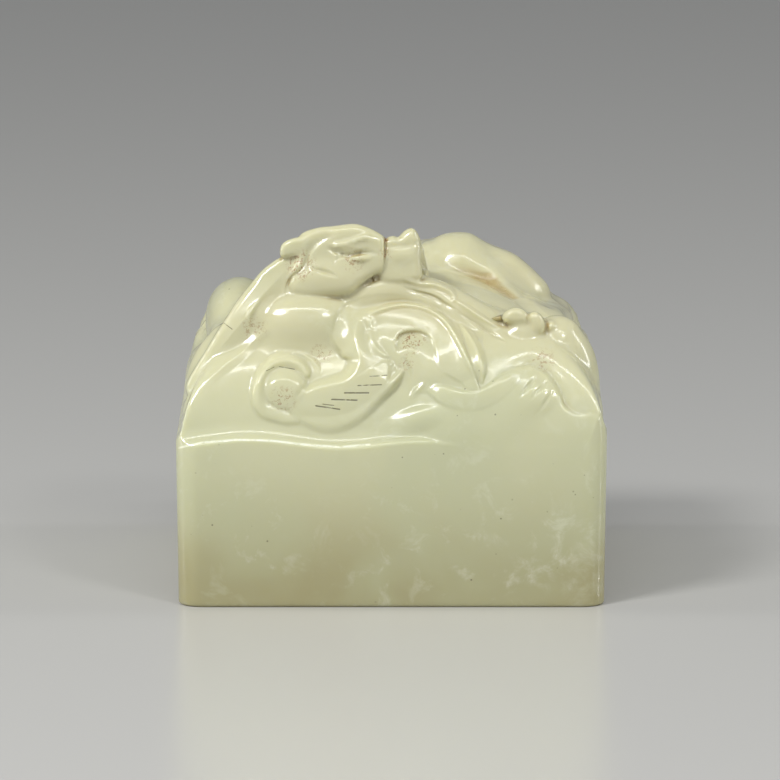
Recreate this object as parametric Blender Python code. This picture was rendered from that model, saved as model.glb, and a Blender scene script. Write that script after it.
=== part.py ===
"""A square jade seal stamp, with a hornless dragon carved in high relief over its domed top.

The carving is laid out in hundredths of the block's side, as the front is seen from ten degrees above:
a mark is (across, up, and then sizes). Some forms are modelled in the round. The rest is low relief, drawn
in that layout as straps, lines and steps and then pressed on to the stone as it stands.
"""

import math

import bmesh
import bpy
import numpy as np

SIDE = 0.042  # width and depth of the block, in metres as all the sizes here
FACE_HEIGHT = 0.01554  # height of the plain faces, up to where the carving starts at the corners
CORNER_RADIUS = 0.0022  # rounding of the upright corners
FOOT_ROUNDING = 0.00034  # rounding of the edge round the foot
LEAN = 0.00019  # how far each face leans in at the foot

UNIT = SIDE / 100.0  # the carving is laid out in hundredths of the side
FACE_TOP = 37.0  # level of the top of the plain faces in that layout
BASE = FACE_TOP - FACE_HEIGHT / UNIT  # level of the underside
CORNER = CORNER_RADIUS / UNIT
DOME_RISE = 38.0  # height of the cushion above the plain faces, before any carving
DOME_POWER = 2.1  # 2 would make its profile an ellipse
LEDGE = 2.4  # how far the cushion is set in behind the ledge, in front and behind
SIDE_LEDGE = 1.1
LEDGE_TOP = 38.2
LEDGE_WAVE = 0.95  # the ledge rises and falls this much about its level
COVE = 5.0  # how widely the cushion is blended into the ledge
VIEW_TILT = 10.0  # degrees above level from which the layout is seen
VIEW_DISTANCE = 1667.0
CENTRE_UP = 50.6  # the mark at eye level
MARGIN = 3.0  # how far a form reaches past its own edge where it is blended in


def rounded_max(a, b, radius):
    """The overlap of two shapes, with its edge rounded."""
    c = np.maximum(a + radius, 0.0)
    d = np.maximum(b + radius, 0.0)
    return np.minimum(np.maximum(a, b) + radius, 0.0) + np.hypot(c, d) - radius


def blended(a, b, k):
    """The lower of two values, rounded where they meet."""
    h = np.clip(0.5 + 0.5 * (b - a) / k, 0.0, 1.0)
    return b * (1.0 - h) + a * h - k * h * (1.0 - h)


def block(p):
    """Signed distance to the square block that the seal is cut from, open above."""
    z = p[:, 2]
    half = 50.0 - CORNER - LEAN / UNIT * np.clip((FACE_TOP - z) / (FACE_TOP - BASE), 0.0, 1.0)
    x = np.abs(p[:, 0]) - half
    y = np.abs(p[:, 1]) - half
    prism = np.hypot(np.maximum(x, 0.0), np.maximum(y, 0.0)) + np.minimum(np.maximum(x, y), 0.0) - CORNER
    return rounded_max(prism, BASE - z, FOOT_ROUNDING / UNIT)


def stock(p):
    """Signed distance to the block with its top turned to a cushion. The cushion is set in behind a ledge,
    with a cove between, in front and behind but for the front right corner, where it is flush."""
    x = p[:, 0]
    y = p[:, 1]
    t = np.clip((y - x + 66.0) / 20.0, 0.0, 1.0)
    t = t * t * (3.0 - 2.0 * t)
    m = DOME_POWER
    wide = 50.0 - SIDE_LEDGE * t
    deep = 50.0 - LEDGE * t
    u = np.minimum(np.abs(x) / wide, 1.2)
    v = np.minimum(np.abs(y) / deep, 1.2)
    w = np.maximum(p[:, 2] - FACE_TOP + 0.5, 0.0) / DOME_RISE
    a = 1.0 - u**m
    b = 1.0 - v**m
    near_a = np.maximum(a, 1e-3)
    near_b = np.maximum(b, 1e-3)
    both = (near_a**-4 + near_b**-4 - 1.0) ** -0.25
    value = w**m - np.where((a < 0.0) | (b < 0.0), np.minimum(a, b), both)
    along_x = u ** (m - 1.0) / wide * (both / near_a) ** 5
    along_y = v ** (m - 1.0) / deep * (both / near_b) ** 5
    slope = np.sqrt((w ** (m - 1.0) / DOME_RISE) ** 2 + along_x**2 + along_y**2)
    dome = np.maximum(block(p), value / (m * np.maximum(slope, 0.006)))
    level = LEDGE_TOP + LEDGE_WAVE * np.cos((x + 33.0) * math.pi / 21.0)
    ledge = rounded_max(block(p), p[:, 2] - level, 0.5)
    return blended(ledge, dome, 0.05 + COVE * t)


carving = []  # (kind, distance, lowest corner, highest corner, blend), in the order they are cut
relief = []  # (lowest, highest, change), in the order they are drawn


def field(p):
    """Signed distance, near enough, to the stone as carved so far."""
    value = stock(p)
    for kind, distance, low, high, k in carving:
        near = np.flatnonzero(((p > low) & (p < high)).all(axis=1))
        if not len(near):
            continue
        d = distance(p[near])
        if kind == "add":
            value[near] = blended(value[near], d, k)
        elif kind == "cut":
            value[near] = -blended(-value[near], d, k)
        else:
            value[near] -= d
    return np.maximum(value, block(p))


def turned(p, quarter):
    """Points or directions turned about the upright axis by quarter turns."""
    for _ in range(quarter % 4):
        p = np.stack([-p[..., 1], p[..., 0], p[..., 2]], axis=-1)
    return p


TILT = math.radians(VIEW_TILT)
RISE = np.array([0.0, math.sin(TILT), math.cos(TILT)])  # up in the layout
AHEAD = np.array([0.0, math.cos(TILT), -math.sin(TILT)])  # into the picture
EYE = np.array([0.0, -50.0, 0.0]) + CENTRE_UP * RISE - VIEW_DISTANCE * AHEAD


def layout_of(p):
    """Where points of the stone appear in the layout: across and up."""
    q = p - EYE
    near = VIEW_DISTANCE / (q @ AHEAD)
    return np.column_stack([q[:, 0] * near, CENTRE_UP + (q @ RISE) * near])


def at(across, up, depth):
    """The point seen at this mark, this far behind the front face."""
    start = np.array([0.0, -50.0, 0.0]) + across * np.array([1.0, 0.0, 0.0]) + up * RISE
    way = start - EYE
    return start + way * (depth - 50.0 - start[1]) / way[1]


def eased(marks, pieces=4, closed=False):
    """A smooth run of points through the marks."""
    marks = np.asarray(marks, float)
    if closed:
        ends = np.vstack([marks[-1], marks, marks[0], marks[1]])
    else:
        ends = np.vstack([2 * marks[0] - marks[1], marks, 2 * marks[-1] - marks[-2]])
    run = []
    for i in range(len(ends) - 3):
        a, b, c, d = ends[i : i + 4]
        for t in np.arange(pieces) / pieces:
            bend = (2 * a - 5 * b + 4 * c - d) * t**2 + (3 * b - a - 3 * c + d) * t**3
            run.append(0.5 * (2 * b + (c - a) * t + bend))
    run.append(ends[-2])
    return np.array(run)


def add_stroke(points, wide, kind="add", blend=1.5):
    """A round limb or gouge through points."""
    along = points[1:] - points[:-1]
    length = np.maximum((along * along).sum(axis=1), 1e-9)
    grow = np.diff(wide)

    def distance(p):
        best = []
        for some in np.array_split(p, len(p) // 4000 + 1):
            q = some[:, None, :] - points[None, :-1, :]
            s = np.clip(np.einsum("psk,sk->ps", q, along) / length, 0.0, 1.0)
            q -= s[:, :, None] * along
            best.append((np.sqrt(np.einsum("psk,psk->ps", q, q)) - wide[:-1] - grow * s).min(axis=1))
        return np.concatenate(best)

    spread = wide.max() + MARGIN
    carving.append((kind, distance, points.min(axis=0) - spread, points.max(axis=0) + spread, blend))


def tube(marks, blend=1.5):
    """A round limb: marks are (across, up, depth behind the front face, radius)."""
    run = eased(marks, 12)
    add_stroke(np.array([at(*mark[:3]) for mark in run]), run[:, 3], blend=blend)


def limb(marks, blend=1.5):
    """A round limb: marks are (x, y, z, radius)."""
    run = eased(marks, 6)
    add_stroke(run[:, :3], run[:, 3], blend=blend)


def lump(centre, radii, kind="add", blend=1.0):
    """An ellipsoid."""
    centre = np.asarray(centre, float)
    radii = np.asarray(radii, float)

    def distance(p):
        q = p - centre
        a = np.sqrt(((q / radii) ** 2).sum(axis=1))
        b = np.sqrt(((q / radii**2) ** 2).sum(axis=1))
        return a * (a - 1.0) / np.maximum(b, 1e-6)

    spread = radii.max() + MARGIN
    carving.append((kind, distance, centre - spread, centre + spread, blend))


def follow(run, spots):
    """How far each spot of the layout is from a line of marks, plus on its left and minus on its right, and
    the marks' other values there."""
    along = run[1:, :2] - run[:-1, :2]
    length = np.maximum((along * along).sum(axis=1), 1e-9)
    sides = []
    values = []
    for some in np.array_split(spots, len(spots) // 4000 + 1):
        q = some[:, None, :] - run[None, :-1, :2]
        t = np.clip(np.einsum("psk,sk->ps", q, along) / length, 0.0, 1.0)
        off = q - t[:, :, None] * along
        far = np.einsum("psk,psk->ps", off, off)
        row = np.arange(len(some))
        nearest = far.argmin(axis=1)
        turn = along[nearest, 0] * q[row, nearest, 1] - along[nearest, 1] * q[row, nearest, 0]
        sides.append(np.sqrt(far[row, nearest]) * np.where(turn < 0.0, -1.0, 1.0))
        t = t[row, nearest][:, None]
        values.append(run[nearest, 2:] * (1.0 - t) + run[nearest + 1, 2:] * t)
    return np.concatenate(sides), np.concatenate(values)


def inside(run, spots):
    """Which spots of the layout a closed line goes round."""
    found = np.zeros(len(spots), bool)
    for (x0, y0), (x1, y1) in zip(run[:-1], run[1:]):
        if y0 != y1:
            crosses = (spots[:, 1] > min(y0, y1)) & (spots[:, 1] <= max(y0, y1))
            found ^= crosses & (spots[:, 0] < x0 + (spots[:, 1] - y0) * (x1 - x0) / (y1 - y0))
    return found


def slab(outline, front, back, rounding, blend=1.0, rake=0.0, level=70.0):
    """A thick piece with this outline in the layout, between two depths behind the front face; rake is how
    much farther back it lies for each step up from a level."""
    run = eased(outline, 4, closed=True)
    low = run.min(axis=0)
    high = run.max(axis=0)

    def distance(p):
        spots = layout_of(p)
        side, _ = follow(run, spots)
        edge = np.where(inside(run, spots), -1.0, 1.0) * np.abs(side)
        depth = p[:, 1] + 50.0 - rake * (spots[:, 1] - level)
        return rounded_max(edge, np.maximum(front - depth, depth - back), rounding)

    lowest = at(low[0], low[1], back + abs(rake) * 20.0) - 2 * MARGIN
    highest = at(high[0], high[1], front - abs(rake) * 20.0) + 2 * MARGIN
    lowest[1] = min(front, front + rake * (low[1] - level)) - 50.0 - MARGIN
    highest[1] = max(back, back + rake * (high[1] - level)) - 50.0 + MARGIN
    carving.append(("add", distance, lowest, highest, blend))


def draw(run, reach, change):
    relief.append((run[:, :2].min(axis=0) - reach, run[:, :2].max(axis=0) + reach, change))


def strap(marks, left=(0.5, 2.0), right=(0.5, 2.0), steep=1.6, blend=0.8):
    """A raised band: marks are (across, up, left width, right width, height of its crest). Each side
    falls by a share of that height, as a power of the way out: 1 leaves the crest sharp."""
    run = eased(marks, 14)

    def change(spots, height):
        side, value = follow(run, spots)
        outer = side > 0.0
        width = np.maximum(np.where(outer, value[:, 0], value[:, 1]), 0.1)
        out = np.abs(side) / width
        power = np.where(outer, left[1], right[1])
        fall = np.where(outer, left[0], right[0]) * np.minimum(out, 1.0) ** power
        crest = value[:, 2] * (1.0 - fall) - steep * np.maximum(np.abs(side) - width, 0.0)
        return -blended(-height, -crest, blend)

    draw(run, run[:, 2:4].max() + 3.5, change)


def line(marks, power=2.0):
    """A fine ridge, or a cut where the height is negative: marks are (across, up, half width, height)."""
    run = eased(marks, 5)

    def change(spots, height):
        side, value = follow(run, spots)
        near = np.clip(1.0 - np.abs(side) / np.maximum(value[:, 0], 0.1), 0.0, 1.0)
        return height + value[:, 1] * near**power

    draw(run, run[:, 2].max(), change)


def edge(marks, soft=0.4, reach=5.0):
    """A step where one form ends over another: marks are (across, up, drop), and the stone is lower on the
    right of the line, coming level again over the reach."""
    run = eased(marks, 5)

    def change(spots, height):
        side, value = follow(run, spots)
        step = np.clip(0.5 - 0.5 * side / soft, 0.0, 1.0)
        step = step * step * (3.0 - 2.0 * step)
        return height - value[:, 0] * step * np.clip(1.0 + side / reach, 0.0, 1.0) ** 2

    draw(run, reach, change)


def swell(across, up, wide, tall, height, lean=0.0):
    """A soft oval rise, or a hollow where its height is below nothing, leaning by degrees from level."""
    c = math.cos(math.radians(lean))
    s = math.sin(math.radians(lean))

    def change(spots, before):
        x = spots[:, 0] - across
        y = spots[:, 1] - up
        out = ((c * x + s * y) / wide) ** 2 + ((c * y - s * x) / tall) ** 2
        return before + height * np.clip(1.0 - out, 0.0, 1.0) ** 2

    draw(np.array([[across, up]]), max(wide, tall), change)


def press(nearest, farthest, quarter=0):
    """Puts what has been drawn on to the stone, between two depths behind the face on that side."""
    drawn = list(relief)
    relief.clear()
    low = np.min([item[0] for item in drawn], axis=0)
    high = np.max([item[1] for item in drawn], axis=0)

    def height_at(p):
        p = turned(p, 4 - quarter)
        spots = layout_of(p)
        height = np.zeros(len(p))
        for lowest, highest, change in drawn:
            near = np.flatnonzero(((spots > lowest) & (spots < highest)).all(axis=1))
            if len(near):
                height[near] = change(spots[near], height[near])
        depth = p[:, 1] + 50.0
        far_end = np.clip((farthest - depth) / 3.0, 0.0, 1.0)
        return height * far_end * np.clip((depth - nearest) / 3.0, 0.0, 1.0)

    corners = np.array([[low[0] - 4.0, nearest - 50.0, 0.98 * low[1] - 0.18 * farthest - 3.0],
                        [high[0] + 4.0, farthest - 50.0, high[1] + 3.0]])
    corners = turned(corners, quarter)
    carving.append(("press", height_at, corners.min(axis=0), corners.max(axis=0), 0.0))


def tail():
    """The tail on the front, in low relief: an arch, the tufted band below it, the rim along that, the curl
    where they end, and the thin looped end of a second tail."""
    strap([(-1.6, 65.0, 6.0, 7.0, 3.2), (9.0, 62.0, 7.0, 8.5, 2.6)], (0.4, 2.0), (0.6, 2.0), 0.5, 1.6)
    strap([(-16.5, 51.6, 0.6, 2.0, 0.6), (-13.0, 51.8, 1.0, 6.0, 2.0), (-10.4, 52.8, 1.2, 7.5, 2.4),
           (-8.4, 54.8, 1.6, 8.0, 2.8), (-7.4, 57.6, 2.2, 6.5, 3.2), (-7.9, 60.6, 3.8, 4.8, 3.6),
           (-8.5, 64.0, 4.9, 4.4, 4.0), (-7.4, 67.2, 5.0, 4.6, 4.3), (-4.4, 69.0, 4.0, 5.5, 4.5),
           (-1.0, 69.9, 2.9, 6.5, 4.6), (2.5, 70.4, 2.2, 7.0, 4.6), (6.0, 70.1, 1.8, 7.5, 4.4),
           (9.0, 69.2, 1.5, 8.0, 4.2), (12.0, 67.2, 1.3, 8.0, 3.8), (14.4, 64.2, 1.2, 8.0, 3.3),
           (16.2, 60.8, 1.1, 7.5, 2.7), (17.8, 57.2, 1.0, 6.0, 2.0), (19.4, 53.6, 0.6, 3.0, 1.0)],
          (0.55, 1.05), (0.45, 1.3), 1.3, 0.7)
    strap([(-21.0, 46.6, 2.6, 2.6, 1.4), (-17.0, 47.6, 3.4, 3.2, 2.0), (-13.0, 48.4, 3.6, 3.6, 2.2),
           (-9.0, 49.6, 3.4, 3.6, 2.2), (-5.5, 51.6, 3.0, 3.4, 2.2), (-3.0, 53.6, 2.8, 2.8, 2.1),
           (-1.2, 55.2, 2.0, 2.0, 1.6)], (0.1, 2.0), (0.35, 2.0), 1.4, 1.5)
    strap([(-21.6, 44.4, 1.0, 0.6, 0.9), (-18.5, 43.2, 2.0, 0.8, 1.7), (-15.0, 42.4, 2.3, 0.9, 2.2),
           (-11.6, 42.9, 2.4, 0.9, 2.3), (-8.3, 44.5, 2.4, 0.9, 2.3), (-5.6, 46.8, 2.3, 0.9, 2.3),
           (-2.8, 49.6, 2.1, 0.9, 2.2), (0.0, 52.4, 1.7, 0.9, 2.0), (2.2, 55.0, 1.0, 0.8, 1.4),
           (3.0, 56.6, 0.5, 0.5, 0.6)], (0.45, 1.0), (0.35, 2.0), 1.4, 0.35)
    strap([(-19.9, 54.6, 1.0, 0.8, 1.0), (-21.4, 56.5, 1.4, 0.9, 1.4), (-23.4, 57.3, 1.6, 1.0, 1.7),
           (-25.2, 57.4, 1.7, 1.0, 1.8), (-27.0, 56.9, 1.7, 1.0, 1.9), (-28.7, 55.7, 1.7, 1.0, 1.9),
           (-30.0, 53.9, 1.7, 1.0, 1.9), (-30.8, 51.7, 1.8, 1.0, 1.9), (-31.0, 49.3, 1.8, 1.0, 1.9),
           (-30.5, 47.1, 1.8, 1.0, 1.9), (-29.2, 45.4, 1.8, 0.9, 1.8), (-27.0, 44.6, 1.7, 0.9, 1.7),
           (-24.4, 43.8, 1.4, 0.8, 1.5), (-22.0, 43.6, 0.9, 0.6, 0.9)], (0.55, 1.2), (0.3, 2.0), 1.6, 0.4)
    strap([(-25.2, 51.2, 4.3, 4.3, 2.5), (-24.2, 50.6, 4.3, 4.3, 2.5)], (0.55, 2.0), (0.55, 2.0), 1.5, 0.5)
    edge([(-17.4, 52.4, 0.1), (-19.0, 51.9, 0.5), (-20.6, 50.4, 0.6), (-22.0, 48.6, 0.4),
          (-22.8, 47.0, 0.05)], 0.4, 1.8)
    line([(-26.6, 48.0, 1.2, -0.1), (-24.6, 46.3, 2.0, -0.3), (-22.6, 44.8, 1.6, -0.3),
          (-21.0, 43.8, 0.8, -0.1)])
    line([(-29.2, 57.2, 0.5, 0.1), (-26.8, 58.9, 1.0, 0.45), (-24.0, 59.3, 1.1, 0.5), (-21.0, 58.9, 1.1, 0.5),
          (-18.8, 57.8, 1.0, 0.45), (-17.3, 56.2, 0.9, 0.4), (-16.4, 54.0, 0.5, 0.1)])
    line([(-5.0, 68.0, 1.4, 0.02), (-4.9, 65.4, 1.9, 0.35), (-4.5, 62.4, 2.0, 0.55), (-3.4, 60.2, 1.8, 0.55),
          (-1.8, 58.9, 1.5, 0.4), (0.2, 58.0, 1.0, 0.05)], 1.6)
    edge([(1.8, 58.4, 0.05), (1.2, 60.0, 0.4), (1.2, 61.8, 0.8), (1.8, 63.2, 1.1), (3.0, 63.9, 1.2),
          (5.0, 64.2, 1.2), (7.0, 64.0, 1.1), (8.7, 62.9, 0.8), (9.6, 61.0, 0.5), (10.2, 58.8, 0.3),
          (11.0, 56.0, 0.05)], 0.6, 7.0)
    line([(2.6, 58.4, 0.6, -0.05), (3.5, 57.0, 0.9, -0.4), (4.1, 55.2, 0.9, -0.4),
          (4.4, 53.2, 0.6, -0.05)], 1.5)
    line([(4.2, 48.8, 0.8, 0.02), (6.0, 50.6, 1.2, 0.45), (8.0, 52.6, 0.8, 0.02)], 1.5)
    strap([(14.6, 67.4, 0.4, 0.5, 0.6), (16.4, 65.2, 0.5, 1.4, 1.6), (18.2, 62.8, 0.6, 2.2, 2.1),
           (19.6, 60.2, 0.6, 2.8, 2.2), (20.4, 57.6, 0.7, 2.8, 2.0), (21.0, 55.0, 0.6, 1.8, 1.5),
           (20.9, 52.8, 0.4, 0.5, 0.5)], (0.3, 2.0), (0.45, 1.0), 1.6, 0.25)
    strap([(8.2, 50.9, 0.6, 0.6, 0.1), (10.6, 50.3, 1.6, 1.6, 0.9),
           (13.4, 49.0, 1.9, 1.9, 1.3), (16.5, 48.2, 1.9, 1.9, 1.3), (20.0, 48.2, 1.9, 1.9, 1.3),
           (23.2, 49.6, 1.9, 1.9, 1.3), (26.0, 51.8, 1.8, 1.9, 1.2), (28.6, 54.2, 1.2, 1.4, 0.8),
           (30.0, 55.4, 0.5, 0.5, 0.3)], (0.3, 2.0), (0.3, 2.0), 1.8, 0.3)
    line([(-5.0, 68.2, 0.6, 0.1), (-2.0, 69.5, 0.9, 0.5), (2.0, 70.4, 0.9, 0.6), (5.0, 70.3, 0.9, 0.6),
          (8.0, 69.6, 0.9, 0.6), (11.0, 67.9, 0.9, 0.6), (13.5, 65.4, 0.9, 0.6), (15.5, 62.1, 0.9, 0.6),
          (16.9, 59.4, 0.9, 0.6), (18.1, 56.8, 0.8, 0.5), (19.4, 53.8, 0.5, 0.1)], 1.2)
    press(1.0, 26.0)


def body():
    """The dragon's body, which goes round the back of the cushion from its neck to its haunch."""
    limb([(-15, -20, 73, 8.5), (-17, -6, 68, 10), (-10, 8, 65, 12), (4, 12, 63, 13.5), (16, 10, 62, 13)], 4.0)
    lump(at(15.5, 69.5, 60), (20.0, 21.0, 15.5), blend=3.0)
    slab([(3.0, 80.0), (7.0, 84.6), (9.4, 85.5), (11.7, 86.7), (14.0, 87.2), (16.3, 87.3), (18.4, 87.0),
          (20.6, 85.9), (23.4, 84.4), (27.9, 82.5), (30.2, 81.0), (33.7, 77.9), (36.3, 75.0), (37.3, 72.1),
          (38.2, 69.5), (37.0, 63.0), (26.0, 60.0), (12.0, 62.0), (3.0, 70.0)], 42.0, 74.0, 11.0, 2.0)
    lump(at(-35.2, 68.0, 46), (8.0, 17.0, 8.8), blend=2.0)
    lump(at(-42.6, 53.5, 44), (4.9, 14.0, 6.4), blend=2.5)


def locks():
    """The long locks that fall from behind the jaw to the left corner."""
    tube([(-38.4, 61.6, 19, 4.3), (-41.2, 57.6, 19, 4.6), (-43.6, 52.8, 20, 4.2), (-45.2, 48.6, 22, 2.8)],
         1.5)
    slab([(-22.0, 82.0), (-25.6, 81.4), (-28.0, 80.0), (-30.4, 78.0), (-33.0, 74.8), (-36.0, 71.0),
          (-38.9, 66.5), (-41.0, 63.3), (-43.3, 59.4), (-45.7, 55.6), (-47.6, 51.9), (-47.2, 49.4),
          (-45.9, 48.4), (-43.7, 50.2), (-39.3, 53.2), (-34.9, 56.3), (-30.4, 59.4), (-26.0, 62.0),
          (-21.0, 66.0), (-18.0, 74.0)], 11.6, 33.0, 1.4, 1.0, 0.2, 60.0)


def chest():
    """The smooth swell under the head, and the limb that comes forward from it to the paw."""
    lump(at(-20.5, 66.2, 18.5), (14.0, 9.0, 8.6), blend=3.5)
    tube([(-12.0, 69.2, 19, 4.4), (-6.0, 72.4, 19, 4.3), (0.0, 73.8, 19.5, 4.2), (6.0, 73.2, 20, 4.3),
          (12.0, 70.8, 20, 4.6), (18.0, 67.4, 20, 4.8), (23.0, 64.6, 19.5, 5.0)], 1.5)
    slab([(12.0, 72.4), (18.0, 71.6), (22.6, 69.0), (26.4, 66.8), (30.0, 66.4), (33.4, 66.0), (35.8, 64.2),
          (36.4, 61.0), (35.4, 57.8), (32.0, 56.2), (27.0, 56.2), (22.0, 56.4), (17.6, 59.0), (12.4, 65.0)],
         12.6, 26.0, 3.4, 1.6, 0.25, 60.0)


def head():
    """The head in profile, facing right: cheek, crown, ears and blunt muzzle."""
    slab([(-21.4, 86.4), (-17.5, 88.2), (-13.4, 88.7), (-8.7, 89.2), (-5.6, 88.4), (-3.0, 87.1),
          (-1.4, 85.6), (-1.0, 82.0), (-1.6, 78.6), (-4.6, 76.8), (-7.4, 75.0), (-8.7, 73.6),
          (-11.0, 72.8), (-16.0, 72.2), (-20.0, 72.2), (-23.2, 73.1), (-24.5, 75.2), (-23.6, 78.4),
          (-22.0, 82.0)], 14.0, 29.0, 2.0, 0.6, 0.1, 80.0)
    slab([(-2.6, 85.0), (-1.2, 85.9), (0.2, 86.4), (1.6, 86.2), (2.6, 87.2), (4.0, 88.1), (5.3, 88.0),
          (6.3, 86.6), (6.9, 84.6), (6.8, 81.0), (6.4, 76.0), (-2.6, 76.0)], 15.5, 27.5, 2.0, 0.5, 0.1,
         80.0)
    slab([(-25.6, 81.5), (-25.8, 83.6), (-24.8, 85.0), (-22.6, 85.9), (-20.0, 86.2), (-16.0, 86.3),
          (-14.4, 86.0), (-17.4, 84.2), (-20.0, 82.2), (-23.2, 81.4)], 14.4, 24.0, 1.3, 0.3)


def paw():
    """The paw at the end of the limb: two toes over a palm."""
    slab([(25.6, 67.4), (26.6, 68.9), (28.6, 69.7), (30.5, 69.3), (31.9, 67.8), (31.6, 66.0), (29.4, 65.8),
          (26.8, 66.0)], 12.0, 27.0, 1.7, 0.3)
    slab([(31.6, 67.6), (33.0, 68.8), (34.5, 68.2), (35.6, 66.4), (35.6, 64.8), (34.4, 63.8), (32.6, 65.0)],
         11.8, 27.0, 1.7, 0.3)
    lump(at(37.0, 65.6, 15.6), (1.3, 2.2, 1.2), blend=0.8)
    lump(at(31.0, 64.2, 15.0), (4.6, 3.0, 2.6), blend=1.4)


def knee():
    """The knee beside the looped tail, and the flank on the right."""
    tube([(38.4, 61.6, 19, 6.4), (40.6, 57.4, 19, 6.8), (42.2, 52.6, 20, 6.2), (43.4, 47.6, 22, 5.0)], 1.2)
    lump(at(33.0, 52.0, 16.0), (11.0, 8.0, 7.0), blend=2.0)
    lump(at(29.8, 44.5, 7.4), (11.0, 6.4, 11.4), blend=1.5)
    lump(at(40.0, 37.6, 7.4), (11.0, 6.2, 8.0), blend=1.5)


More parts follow.
